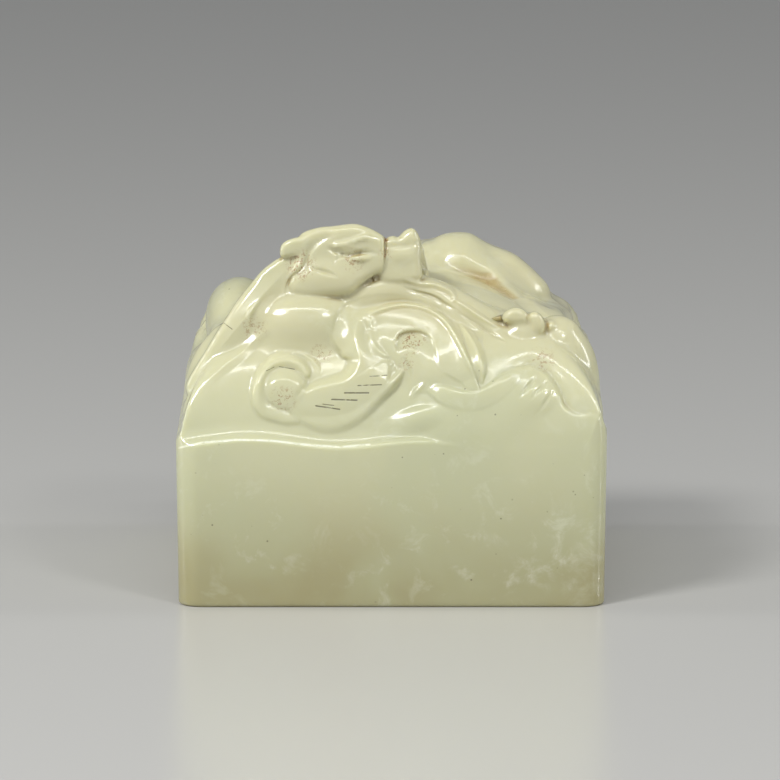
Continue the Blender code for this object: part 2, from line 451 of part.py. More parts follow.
def finish_front():
    """The lines and steps cut last, over the head, locks, limb, paw and knee."""
    edge([(-12.6, 86.6, 0.05), (-14.6, 86.0, 0.5), (-17.2, 84.4, 0.9), (-18.9, 82.4, 1.0), (-19.5, 80.6, 0.8),
          (-19.4, 79.2, 0.2)], 0.3, 3.0)
    line([(-19.0, 79.6, 0.5, -0.2), (-18.0, 78.8, 0.6, -0.45), (-15.0, 77.9, 0.8, -0.8),
          (-12.6, 76.9, 0.5, -0.1)], 1.2)
    edge([(-24.8, 73.4, 0.2), (-24.2, 75.6, 0.8), (-23.2, 77.2, 1.1), (-21.4, 78.6, 1.1), (-20.2, 80.2, 0.8),
          (-19.6, 81.8, 0.1)], 0.4, 3.0)
    line([(-15.4, 84.3, 0.5, 0.1), (-12.0, 84.4, 1.0, 1.1), (-9.2, 85.1, 1.1, 1.1), (-6.4, 86.0, 1.0, 1.0),
          (-3.4, 85.4, 0.5, 0.1)], 1.3)
    line([(-15.0, 83.8, 0.5, -0.1), (-12.6, 82.6, 0.8, -1.1), (-9.7, 82.0, 0.9, -1.2),
          (-6.1, 82.6, 0.8, -1.0), (-2.8, 82.4, 0.5, -0.1)], 1.2)
    swell(-8.6, 83.6, 4.2, 1.3, 0.6, 6)
    swell(-7.4, 81.2, 3.2, 1.2, 1.1, 4)
    line([(-13.0, 80.0, 0.4, -0.1), (-12.2, 81.4, 0.5, -0.4), (-10.2, 81.4, 0.5, -0.3),
          (-8.6, 80.4, 0.5, -0.4), (-6.4, 80.2, 0.4, -0.1)], 1.3)
    line([(-1.4, 85.6, 0.5, -0.4), (-1.5, 83.0, 0.6, -0.6), (-1.6, 80.6, 0.5, -0.4),
          (-1.8, 78.6, 0.4, -0.1)], 1.4)
    line([(-1.4, 84.0, 0.8, -0.3), (1.0, 84.2, 1.0, -0.5), (3.6, 84.3, 1.0, -0.5),
          (6.8, 84.8, 0.8, -0.3)], 1.5)
    swell(2.6, 81.8, 4.4, 2.4, 0.6)
    swell(-14.5, 76.6, 10.0, 5.6, 1.3, -4)
    line([(-24.8, 78.0, 1.2, 0.1), (-27.6, 75.2, 2.6, 0.5), (-31.3, 71.0, 3.4, 0.9), (-33.1, 68.3, 3.6, 1.1),
          (-35.3, 65.7, 3.4, 0.9), (-38.2, 62.2, 3.0, 0.5), (-41.0, 58.8, 2.0, 0.1)], 1.1)
    line([(-30.6, 71.4, 0.6, 0.1), (-32.6, 69.0, 1.0, 0.6), (-33.2, 67.0, 1.0, 0.5),
          (-33.0, 64.6, 0.5, 0.1)], 1.2)
    line([(-28.6, 65.0, 1.2, 0.1), (-30.9, 63.0, 1.8, 0.4), (-34.9, 59.4, 2.0, 0.5), (-39.3, 55.9, 1.8, 0.4),
          (-43.0, 52.4, 1.4, 0.1)], 1.2)
    edge([(-13.4, 61.4, 0.05), (-13.6, 64.0, 0.3), (-13.2, 66.4, 0.45), (-12.4, 68.4, 0.5),
          (-10.8, 70.2, 0.4), (-8.0, 71.6, 0.3), (-4.0, 72.5, 0.25), (0.0, 72.7, 0.2), (4.0, 72.4, 0.1)],
         0.6, 3.0)
    line([(3.0, 76.2, 0.5, 0.1), (6.0, 75.4, 1.0, 0.9), (10.0, 75.2, 1.1, 1.0), (13.4, 73.8, 1.1, 0.9),
          (14.6, 72.2, 0.8, 0.4), (14.0, 70.8, 0.4, 0.1)], 1.2)
    edge([(2.6, 74.8, 0.1), (5.8, 73.7, 0.9), (9.8, 72.6, 1.1), (12.6, 70.8, 0.9), (15.0, 69.6, 0.2)],
         0.3, 2.5)
    line([(14.6, 71.6, 0.5, 0.2), (17.4, 69.8, 0.9, 0.8), (21.0, 67.4, 0.9, 0.8), (24.8, 65.2, 0.5, 0.1)],
         1.2)
    line([(15.6, 68.6, 0.5, -0.1), (19.0, 66.4, 0.8, -0.5), (23.0, 63.8, 0.8, -0.5),
          (26.6, 61.8, 0.5, -0.1)], 1.4)
    edge([(50.0, 42.6, 0.2), (46.7, 45.0, 0.6), (44.7, 44.7, 0.9), (42.2, 45.3, 1.2), (40.2, 46.9, 1.5),
          (38.9, 50.2, 1.6), (36.3, 54.1, 1.6), (33.1, 56.0, 1.4), (30.5, 55.7, 1.1), (27.6, 54.4, 0.6),
          (25.0, 52.6, 0.1)], 0.7, 6.0)
    for left, right, low, high in ((29.5, 33.5, 48.8, 53.6), (32.0, 36.0, 48.3, 52.5),
                                   (33.8, 37.5, 45.0, 50.5)):
        line([(left, low, 0.4, -0.1), ((left + right) / 2, (low + high) / 2, 0.6, -0.8),
              (right, high, 0.4, -0.1)], 1.2)
    swell(5.5, 43.6, 9.0, 3.6, 1.3, 14)
    swell(34.0, 48.4, 6.0, 4.6, 1.2, 20)
    press(0.0, 34.0)
    line([(19.4, 86.4, 2.0, -0.05), (24.0, 81.8, 3.0, -0.7), (27.9, 78.3, 3.4, -1.0), (31.8, 75.0, 3.4, -1.0),
          (35.7, 70.8, 2.8, -0.7), (37.3, 66.6, 2.0, -0.1)], 1.5)
    line([(12.0, 80.2, 2.4, -0.05), (16.0, 77.8, 2.8, -0.5), (20.8, 75.7, 3.0, -0.7), (26.6, 72.4, 2.8, -0.7),
          (32.4, 68.3, 2.2, -0.5), (35.6, 65.4, 1.6, -0.1)], 1.5)
    line([(12.0, 83.4, 2.4, 0.05), (15.0, 82.0, 3.0, 0.6), (19.5, 80.0, 3.2, 1.2), (24.0, 77.9, 3.2, 1.4),
          (30.5, 72.8, 3.0, 1.2), (34.4, 69.5, 2.4, 0.3)], 1.1)
    line([(13.0, 76.2, 2.0, 0.1), (16.6, 74.4, 2.4, 0.6), (21.4, 73.2, 2.4, 0.7), (25.6, 71.1, 2.2, 0.6),
          (28.6, 69.5, 1.6, 0.1)], 1.1)
    press(30.0, 78.0)


def sides():
    """Plainer relief on the faces turned away: the same curls, bands and knees."""
    for quarter, shift in ((1, -2.0), (2, 1.0), (3, 2.0)):
        strap([(26 + shift, 46, 1.2, 1.2, 1.0), (22 + shift, 50, 2.6, 2.6, 1.8),
               (16 + shift, 53, 3.4, 3.4, 2.2), (8 + shift, 52, 3.8, 3.8, 2.4),
               (0 + shift, 48.6, 3.8, 3.8, 2.4), (-9 + shift, 47.2, 3.6, 3.6, 2.4),
               (-17 + shift, 50.0, 2.6, 2.6, 2.2), (-20.6 + shift, 55.0, 1.8, 1.8, 2.0),
               (-17.6 + shift, 58.8, 1.5, 1.5, 1.8), (-13.4 + shift, 57.4, 1.0, 1.0, 1.4)], (0.4, 1.6),
              (0.4, 1.6), 1.6, 0.5)
        swell(-16.0 + shift, 54.8, 2.2, 2.2, 1.2)
        strap([(-31 + shift, 50, 1.0, 1.0, 0.6), (-29 + shift, 55, 2.4, 2.4, 2.0),
               (-24 + shift, 61, 3.2, 3.2, 2.8), (-16 + shift, 65, 3.6, 3.6, 3.0),
               (-4 + shift, 64, 3.6, 3.6, 3.0), (8 + shift, 61, 3.2, 3.2, 2.8),
               (19 + shift, 61.6, 3.0, 3.0, 2.6), (27 + shift, 57, 2.6, 2.6, 2.0),
               (30 + shift, 51, 1.2, 1.2, 0.6)], (0.5, 1.4), (0.5, 1.4), 1.6, 0.6)
        strap([(14 + shift, 46, 0.6, 0.6, 0.6), (20 + shift, 44.6, 1.2, 1.2, 1.2),
               (26 + shift, 43.4, 1.6, 1.6, 1.5), (33 + shift, 44.2, 1.6, 1.6, 1.5),
               (38 + shift, 47, 0.8, 0.8, 0.6)], (0.4, 1.6), (0.4, 1.6), 1.6, 0.4)
        swell(-34.0 + shift, 44.6, 7.0, 3.4, 1.6, 18)
        for i in range(3):
            line([(2 + shift + 5 * i, 50.0 + i, 0.4, -0.1), (6 + shift + 5 * i, 51.4 + i, 0.5, -0.5),
                  (10 + shift + 5 * i, 51.8 + i, 0.4, -0.1)], 1.2)
        press(0.0, 24.0, quarter)


def shell(columns, heights):
    """A box of quads round the stone: a top grid, rings of quads down to the foot, and one face below."""
    bm = bmesh.new()
    bmesh.ops.create_grid(bm, x_segments=columns, y_segments=columns, size=50.0)
    for v in bm.verts:
        v.co.z = heights[-1]
    rim = [e for e in bm.edges if e.is_boundary]
    for height in heights[-2::-1]:
        made = bmesh.ops.extrude_edge_only(bm, edges=rim)["geom"]
        for v in (item for item in made if isinstance(item, bmesh.types.BMVert)):
            v.co.z = height
        rim = [item for item in made if isinstance(item, bmesh.types.BMEdge) and item.is_boundary]
    bmesh.ops.contextual_create(bm, geom=rim)
    bmesh.ops.recalc_face_normals(bm, faces=bm.faces[:])
    return bm


def vertex_normals(p, corners):
    """Normals from the quads round each vertex."""
    n = np.cross(p[corners[:, 2]] - p[corners[:, 0]], p[corners[:, 3]] - p[corners[:, 1]])
    total = np.zeros_like(p)
    for corner in range(4):
        for axis in range(3):
            total[:, axis] += np.bincount(corners[:, corner], n[:, axis], len(p))
    return total / np.maximum(np.linalg.norm(total, axis=1, keepdims=True), 1e-9)


def carve(mesh, rounds):
    """Brings every vertex of the box in to the carved surface, then evens out the quads on it."""
    p = np.empty(len(mesh.vertices) * 3)
    mesh.vertices.foreach_get("co", p)
    p = p.reshape(-1, 3)
    way = np.array([0.0, 0.0, FACE_TOP - 1.0]) - p
    way[:, 2] = np.minimum(way[:, 2], 0.0)
    way /= np.linalg.norm(way, axis=1, keepdims=True)
    active = np.arange(len(p))
    for _ in range(60):
        f = field(p[active])
        p[active] += way[active] * np.clip(0.7 * f, -1.0, 2.5)[:, None]
        active = active[np.abs(f) > 0.02]
        if not len(active):
            break
    free = p[:, 2] > FACE_TOP - 0.5
    corners = np.array([f.vertices[:] for f in mesh.polygons if len(f.vertices) == 4])
    ends = np.array([e.vertices[:] for e in mesh.edges])
    degree = np.bincount(ends.ravel(), minlength=len(p))[:, None]
    for _ in range(rounds):
        mean = np.zeros_like(p)
        for axis in range(3):
            mean[:, axis] = np.bincount(ends[:, 0], p[ends[:, 1], axis], len(p))
            mean[:, axis] += np.bincount(ends[:, 1], p[ends[:, 0], axis], len(p))
        n = vertex_normals(p, corners)
        move = mean / degree - p
        move -= n * (n * move).sum(axis=1, keepdims=True)
        p[free] += 0.5 * move[free]
        for _ in range(2):
            p[free] -= n[free] * np.clip(0.6 * field(p[free]), -0.5, 0.5)[:, None]
    p[~free, 2] = np.maximum(p[~free, 2], BASE)
    mesh.vertices.foreach_set("co", ((p - np.array([0.0, 0.0, BASE])) * UNIT).ravel())
    mesh.update()


def jade():
    material = bpy.data.materials.new("jade")
    material.use_nodes = True
    stone = material.node_tree.nodes["Principled BSDF"]
    stone.inputs["Base Color"].default_value = (0.60, 0.60, 0.40, 1.0)
    stone.inputs["Roughness"].default_value = 0.25
    return material


COLUMNS = 64  # quads along each side of the block while it is carved
CARVED_ROWS = 30
TRIANGLES = 9600  # kept after carving


def main():
    for thing in list(bpy.data.objects):
        bpy.data.objects.remove(thing, do_unlink=True)
    for form in (sides, tail, body, chest, locks, head, knee, paw, finish_front):
        form()
    shoulder = FACE_TOP - 1.0
    rows = [BASE, BASE + 0.3, BASE + 0.8, BASE + 2.0, (BASE + shoulder) / 2.0]
    bm = shell(COLUMNS, rows + list(np.linspace(shoulder, 88.0, CARVED_ROWS + 1)))
    rough = bpy.data.meshes.new("rough")
    bm.to_mesh(rough)
    bm.free()
    carve(rough, 8)
    helper = bpy.data.objects.new("rough", rough)
    bpy.context.scene.collection.objects.link(helper)
    cut = helper.modifiers.new("fewer", "DECIMATE")
    rough.calc_loop_triangles()
    cut.ratio = TRIANGLES / len(rough.loop_triangles)
    graph = bpy.context.evaluated_depsgraph_get()
    mesh = bpy.data.meshes.new_from_object(helper.evaluated_get(graph))
    bpy.data.objects.remove(helper, do_unlink=True)
    mesh.name = "jade_seal"
    for face in mesh.polygons:
        face.use_smooth = True
    mesh.set_sharp_from_angle(angle=math.radians(38.0))
    mesh.materials.append(jade())
    seal = bpy.data.objects.new("jade_seal", mesh)
    bpy.context.scene.collection.objects.link(seal)


main()
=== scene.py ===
"""A square seal of pale jade with a hornless dragon carved over its top, on a pale studio floor."""

import math

import bmesh
import bpy
import numpy as np
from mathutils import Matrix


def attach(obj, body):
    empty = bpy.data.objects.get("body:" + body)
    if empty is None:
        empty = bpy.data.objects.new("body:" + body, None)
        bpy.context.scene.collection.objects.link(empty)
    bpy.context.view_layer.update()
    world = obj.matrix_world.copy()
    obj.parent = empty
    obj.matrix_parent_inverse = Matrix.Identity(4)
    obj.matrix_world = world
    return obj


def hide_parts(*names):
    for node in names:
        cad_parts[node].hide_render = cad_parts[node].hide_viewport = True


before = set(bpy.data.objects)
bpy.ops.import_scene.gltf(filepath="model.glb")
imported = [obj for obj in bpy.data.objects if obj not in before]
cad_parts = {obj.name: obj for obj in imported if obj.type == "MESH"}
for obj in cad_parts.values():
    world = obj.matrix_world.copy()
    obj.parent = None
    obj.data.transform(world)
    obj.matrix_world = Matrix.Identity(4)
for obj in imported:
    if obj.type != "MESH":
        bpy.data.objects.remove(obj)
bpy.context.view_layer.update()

# The seal is one piece of pale nephrite: a squared block, its top ground to a cushion and then carved with
# a dragon by wheels and drills fed with grit, and polished. The carving is laid out in hundredths of the
# block's side, as the front is seen from ten degrees above: a mark is (across, up, and then sizes).
SIDE = 0.042  # width and depth of the block, in metres as all the sizes here
FACE_HEIGHT = 0.01554  # height of the plain faces, up to where the carving starts at the corners
CORNER_RADIUS = 0.0022  # rounding of the upright corners
FOOT_ROUNDING = 0.00034  # rounding of the edge round the foot
LEAN = 0.00019  # how far each face leans in at the foot

UNIT = SIDE / 100.0  # the carving is laid out in hundredths of the side
FACE_TOP = 37.0  # level of the top of the plain faces in that layout
BASE = FACE_TOP - FACE_HEIGHT / UNIT  # level of the underside
CORNER = CORNER_RADIUS / UNIT
DOME_RISE = 38.0  # height of the cushion above the plain faces, before any carving
DOME_POWER = 2.1  # 2 would make its profile an ellipse
LEDGE = 2.4  # how far the cushion is set in behind the ledge, in front and behind
SIDE_LEDGE = 1.1
LEDGE_TOP = 38.2
LEDGE_WAVE = 0.95  # the ledge rises and falls this much about its level
COVE = 5.0  # how widely the cushion is blended into the ledge
VIEW_TILT = 10.0  # degrees above level from which the layout is seen
VIEW_DISTANCE = 1667.0
CENTRE_UP = 50.6  # the mark at eye level
MARGIN = 3.0  # how far a form reaches past its own edge where it is blended in


def rounded_max(a, b, radius):
    """The overlap of two shapes, with its edge rounded."""
    c = np.maximum(a + radius, 0.0)
    d = np.maximum(b + radius, 0.0)
    return np.minimum(np.maximum(a, b) + radius, 0.0) + np.hypot(c, d) - radius


def blended(a, b, k):
    """The lower of two values, rounded where they meet."""
    h = np.clip(0.5 + 0.5 * (b - a) / k, 0.0, 1.0)
    return b * (1.0 - h) + a * h - k * h * (1.0 - h)


def block(p):
    """Signed distance to the square block that the seal is cut from, open above."""
    z = p[:, 2]
    half = 50.0 - CORNER - LEAN / UNIT * np.clip((FACE_TOP - z) / (FACE_TOP - BASE), 0.0, 1.0)
    x = np.abs(p[:, 0]) - half
    y = np.abs(p[:, 1]) - half
    prism = np.hypot(np.maximum(x, 0.0), np.maximum(y, 0.0)) + np.minimum(np.maximum(x, y), 0.0) - CORNER
    return rounded_max(prism, BASE - z, FOOT_ROUNDING / UNIT)


def stock(p):
    """Signed distance to the block with its top turned to a cushion. The cushion is set in behind a ledge,
    with a cove between, in front and behind but for the front right corner, where it is flush."""
    x = p[:, 0]
    y = p[:, 1]
    t = np.clip((y - x + 66.0) / 20.0, 0.0, 1.0)
    t = t * t * (3.0 - 2.0 * t)
    m = DOME_POWER
    wide = 50.0 - SIDE_LEDGE * t
    deep = 50.0 - LEDGE * t
    u = np.minimum(np.abs(x) / wide, 1.2)
    v = np.minimum(np.abs(y) / deep, 1.2)
    w = np.maximum(p[:, 2] - FACE_TOP + 0.5, 0.0) / DOME_RISE
    a = 1.0 - u**m
    b = 1.0 - v**m
    near_a = np.maximum(a, 1e-3)
    near_b = np.maximum(b, 1e-3)
    both = (near_a**-4 + near_b**-4 - 1.0) ** -0.25
    value = w**m - np.where((a < 0.0) | (b < 0.0), np.minimum(a, b), both)
    along_x = u ** (m - 1.0) / wide * (both / near_a) ** 5
    along_y = v ** (m - 1.0) / deep * (both / near_b) ** 5
    slope = np.sqrt((w ** (m - 1.0) / DOME_RISE) ** 2 + along_x**2 + along_y**2)
    dome = np.maximum(block(p), value / (m * np.maximum(slope, 0.006)))
    level = LEDGE_TOP + LEDGE_WAVE * np.cos((x + 33.0) * math.pi / 21.0)
    ledge = rounded_max(block(p), p[:, 2] - level, 0.5)
    return blended(ledge, dome, 0.05 + COVE * t)


carving = []  # (kind, distance, lowest corner, highest corner, blend), in the order they are cut
relief = []  # (lowest, highest, change), in the order they are drawn


def field(p):
    """Signed distance, near enough, to the stone as carved so far."""
    value = stock(p)
    for kind, distance, low, high, k in carving:
        near = np.flatnonzero(((p > low) & (p < high)).all(axis=1))
        if not len(near):
            continue
        d = distance(p[near])
        if kind == "add":
            value[near] = blended(value[near], d, k)
        elif kind == "cut":
            value[near] = -blended(-value[near], d, k)
        else:
            value[near] -= d
    return np.maximum(value, block(p))


def turned(p, quarter):
    """Points or directions turned about the upright axis by quarter turns."""
    for _ in range(quarter % 4):
        p = np.stack([-p[..., 1], p[..., 0], p[..., 2]], axis=-1)
    return p


TILT = math.radians(VIEW_TILT)
RISE = np.array([0.0, math.sin(TILT), math.cos(TILT)])  # up in the layout
AHEAD = np.array([0.0, math.cos(TILT), -math.sin(TILT)])  # into the picture
EYE = np.array([0.0, -50.0, 0.0]) + CENTRE_UP * RISE - VIEW_DISTANCE * AHEAD


def layout_of(p):
    """Where points of the stone appear in the layout: across and up."""
    q = p - EYE
    near = VIEW_DISTANCE / (q @ AHEAD)
    return np.column_stack([q[:, 0] * near, CENTRE_UP + (q @ RISE) * near])


def at(across, up, depth):
    """The point seen at this mark, this far behind the front face."""
    start = np.array([0.0, -50.0, 0.0]) + across * np.array([1.0, 0.0, 0.0]) + up * RISE
    way = start - EYE
    return start + way * (depth - 50.0 - start[1]) / way[1]


def eased(marks, pieces=4, closed=False):
    """A smooth run of points through the marks."""
    marks = np.asarray(marks, float)
    if closed:
        ends = np.vstack([marks[-1], marks, marks[0], marks[1]])
    else:
        ends = np.vstack([2 * marks[0] - marks[1], marks, 2 * marks[-1] - marks[-2]])
    run = []
    for i in range(len(ends) - 3):
        a, b, c, d = ends[i : i + 4]
        for t in np.arange(pieces) / pieces:
            bend = (2 * a - 5 * b + 4 * c - d) * t**2 + (3 * b - a - 3 * c + d) * t**3
            run.append(0.5 * (2 * b + (c - a) * t + bend))
    run.append(ends[-2])
    return np.array(run)


def add_stroke(points, wide, kind="add", blend=1.5):
    """A round limb or gouge through points."""
    along = points[1:] - points[:-1]
    length = np.maximum((along * along).sum(axis=1), 1e-9)
    grow = np.diff(wide)

    def distance(p):
        best = []
        for some in np.array_split(p, len(p) // 4000 + 1):
            q = some[:, None, :] - points[None, :-1, :]
            s = np.clip(np.einsum("psk,sk->ps", q, along) / length, 0.0, 1.0)
            q -= s[:, :, None] * along
            best.append((np.sqrt(np.einsum("psk,psk->ps", q, q)) - wide[:-1] - grow * s).min(axis=1))
        return np.concatenate(best)

    spread = wide.max() + MARGIN
    carving.append((kind, distance, points.min(axis=0) - spread, points.max(axis=0) + spread, blend))


def tube(marks, blend=1.5):
    """A round limb: marks are (across, up, depth behind the front face, radius)."""
    run = eased(marks, 12)
    add_stroke(np.array([at(*mark[:3]) for mark in run]), run[:, 3], blend=blend)


def limb(marks, blend=1.5):
    """A round limb: marks are (x, y, z, radius)."""
    run = eased(marks, 6)
    add_stroke(run[:, :3], run[:, 3], blend=blend)


def lump(centre, radii, kind="add", blend=1.0):
    """An ellipsoid."""
    centre = np.asarray(centre, float)
    radii = np.asarray(radii, float)

    def distance(p):
        q = p - centre
        a = np.sqrt(((q / radii) ** 2).sum(axis=1))
        b = np.sqrt(((q / radii**2) ** 2).sum(axis=1))
        return a * (a - 1.0) / np.maximum(b, 1e-6)

    spread = radii.max() + MARGIN
    carving.append((kind, distance, centre - spread, centre + spread, blend))


def follow(run, spots):
    """How far each spot of the layout is from a line of marks, plus on its left and minus on its right, and
    the marks' other values there."""
    along = run[1:, :2] - run[:-1, :2]
    length = np.maximum((along * along).sum(axis=1), 1e-9)
    sides = []
    values = []
    for some in np.array_split(spots, len(spots) // 4000 + 1):
        q = some[:, None, :] - run[None, :-1, :2]
        t = np.clip(np.einsum("psk,sk->ps", q, along) / length, 0.0, 1.0)
        off = q - t[:, :, None] * along
        far = np.einsum("psk,psk->ps", off, off)
        row = np.arange(len(some))
        nearest = far.argmin(axis=1)
        turn = along[nearest, 0] * q[row, nearest, 1] - along[nearest, 1] * q[row, nearest, 0]
        sides.append(np.sqrt(far[row, nearest]) * np.where(turn < 0.0, -1.0, 1.0))
        t = t[row, nearest][:, None]
        values.append(run[nearest, 2:] * (1.0 - t) + run[nearest + 1, 2:] * t)
    return np.concatenate(sides), np.concatenate(values)


def inside(run, spots):
    """Which spots of the layout a closed line goes round."""
    found = np.zeros(len(spots), bool)
    for (x0, y0), (x1, y1) in zip(run[:-1], run[1:]):
        if y0 != y1:
            crosses = (spots[:, 1] > min(y0, y1)) & (spots[:, 1] <= max(y0, y1))
            found ^= crosses & (spots[:, 0] < x0 + (spots[:, 1] - y0) * (x1 - x0) / (y1 - y0))
    return found


def slab(outline, front, back, rounding, blend=1.0, rake=0.0, level=70.0):
    """A thick piece with this outline in the layout, between two depths behind the front face; rake is how
    much farther back it lies for each step up from a level."""
    run = eased(outline, 4, closed=True)
    low = run.min(axis=0)
    high = run.max(axis=0)

    def distance(p):
        spots = layout_of(p)
        side, _ = follow(run, spots)
        edge = np.where(inside(run, spots), -1.0, 1.0) * np.abs(side)
        depth = p[:, 1] + 50.0 - rake * (spots[:, 1] - level)
        return rounded_max(edge, np.maximum(front - depth, depth - back), rounding)

    lowest = at(low[0], low[1], back + abs(rake) * 20.0) - 2 * MARGIN
    highest = at(high[0], high[1], front - abs(rake) * 20.0) + 2 * MARGIN
    lowest[1] = min(front, front + rake * (low[1] - level)) - 50.0 - MARGIN
    highest[1] = max(back, back + rake * (high[1] - level)) - 50.0 + MARGIN
    carving.append(("add", distance, lowest, highest, blend))


def draw(run, reach, change):
    relief.append((run[:, :2].min(axis=0) - reach, run[:, :2].max(axis=0) + reach, change))


def strap(marks, left=(0.5, 2.0), right=(0.5, 2.0), steep=1.6, blend=0.8):
    """A raised band: marks are (across, up, left width, right width, height of its crest). Each side
    falls by a share of that height, as a power of the way out: 1 leaves the crest sharp."""
    run = eased(marks, 14)

    def change(spots, height):
        side, value = follow(run, spots)
        outer = side > 0.0
        width = np.maximum(np.where(outer, value[:, 0], value[:, 1]), 0.1)
        out = np.abs(side) / width
        power = np.where(outer, left[1], right[1])
        fall = np.where(outer, left[0], right[0]) * np.minimum(out, 1.0) ** power
        crest = value[:, 2] * (1.0 - fall) - steep * np.maximum(np.abs(side) - width, 0.0)
        return -blended(-height, -crest, blend)

    draw(run, run[:, 2:4].max() + 3.5, change)


def line(marks, power=2.0):
    """A fine ridge, or a cut where the height is negative: marks are (across, up, half width, height)."""
    run = eased(marks, 5)

    def change(spots, height):
        side, value = follow(run, spots)
        near = np.clip(1.0 - np.abs(side) / np.maximum(value[:, 0], 0.1), 0.0, 1.0)
        return height + value[:, 1] * near**power

    draw(run, run[:, 2].max(), change)


def edge(marks, soft=0.4, reach=5.0):
    """A step where one form ends over another: marks are (across, up, drop), and the stone is lower on the
    right of the line, coming level again over the reach."""
    run = eased(marks, 5)

    def change(spots, height):
        side, value = follow(run, spots)
        step = np.clip(0.5 - 0.5 * side / soft, 0.0, 1.0)
        step = step * step * (3.0 - 2.0 * step)
        return height - value[:, 0] * step * np.clip(1.0 + side / reach, 0.0, 1.0) ** 2

    draw(run, reach, change)


def swell(across, up, wide, tall, height, lean=0.0):
    """A soft oval rise, or a hollow where its height is below nothing, leaning by degrees from level."""
    c = math.cos(math.radians(lean))
    s = math.sin(math.radians(lean))

    def change(spots, before):
        x = spots[:, 0] - across
        y = spots[:, 1] - up
        out = ((c * x + s * y) / wide) ** 2 + ((c * y - s * x) / tall) ** 2
        return before + height * np.clip(1.0 - out, 0.0, 1.0) ** 2

    draw(np.array([[across, up]]), max(wide, tall), change)


def press(nearest, farthest, quarter=0):
    """Puts what has been drawn on to the stone, between two depths behind the face on that side."""
    drawn = list(relief)
    relief.clear()
    low = np.min([item[0] for item in drawn], axis=0)
    high = np.max([item[1] for item in drawn], axis=0)

    def height_at(p):
        p = turned(p, 4 - quarter)
        spots = layout_of(p)
        height = np.zeros(len(p))
        for lowest, highest, change in drawn:
            near = np.flatnonzero(((spots > lowest) & (spots < highest)).all(axis=1))
            if len(near):
                height[near] = change(spots[near], height[near])
        depth = p[:, 1] + 50.0
        far_end = np.clip((farthest - depth) / 3.0, 0.0, 1.0)
        return height * far_end * np.clip((depth - nearest) / 3.0, 0.0, 1.0)

    corners = np.array([[low[0] - 4.0, nearest - 50.0, 0.98 * low[1] - 0.18 * farthest - 3.0],
                        [high[0] + 4.0, farthest - 50.0, high[1] + 3.0]])
    corners = turned(corners, quarter)
    carving.append(("press", height_at, corners.min(axis=0), corners.max(axis=0), 0.0))


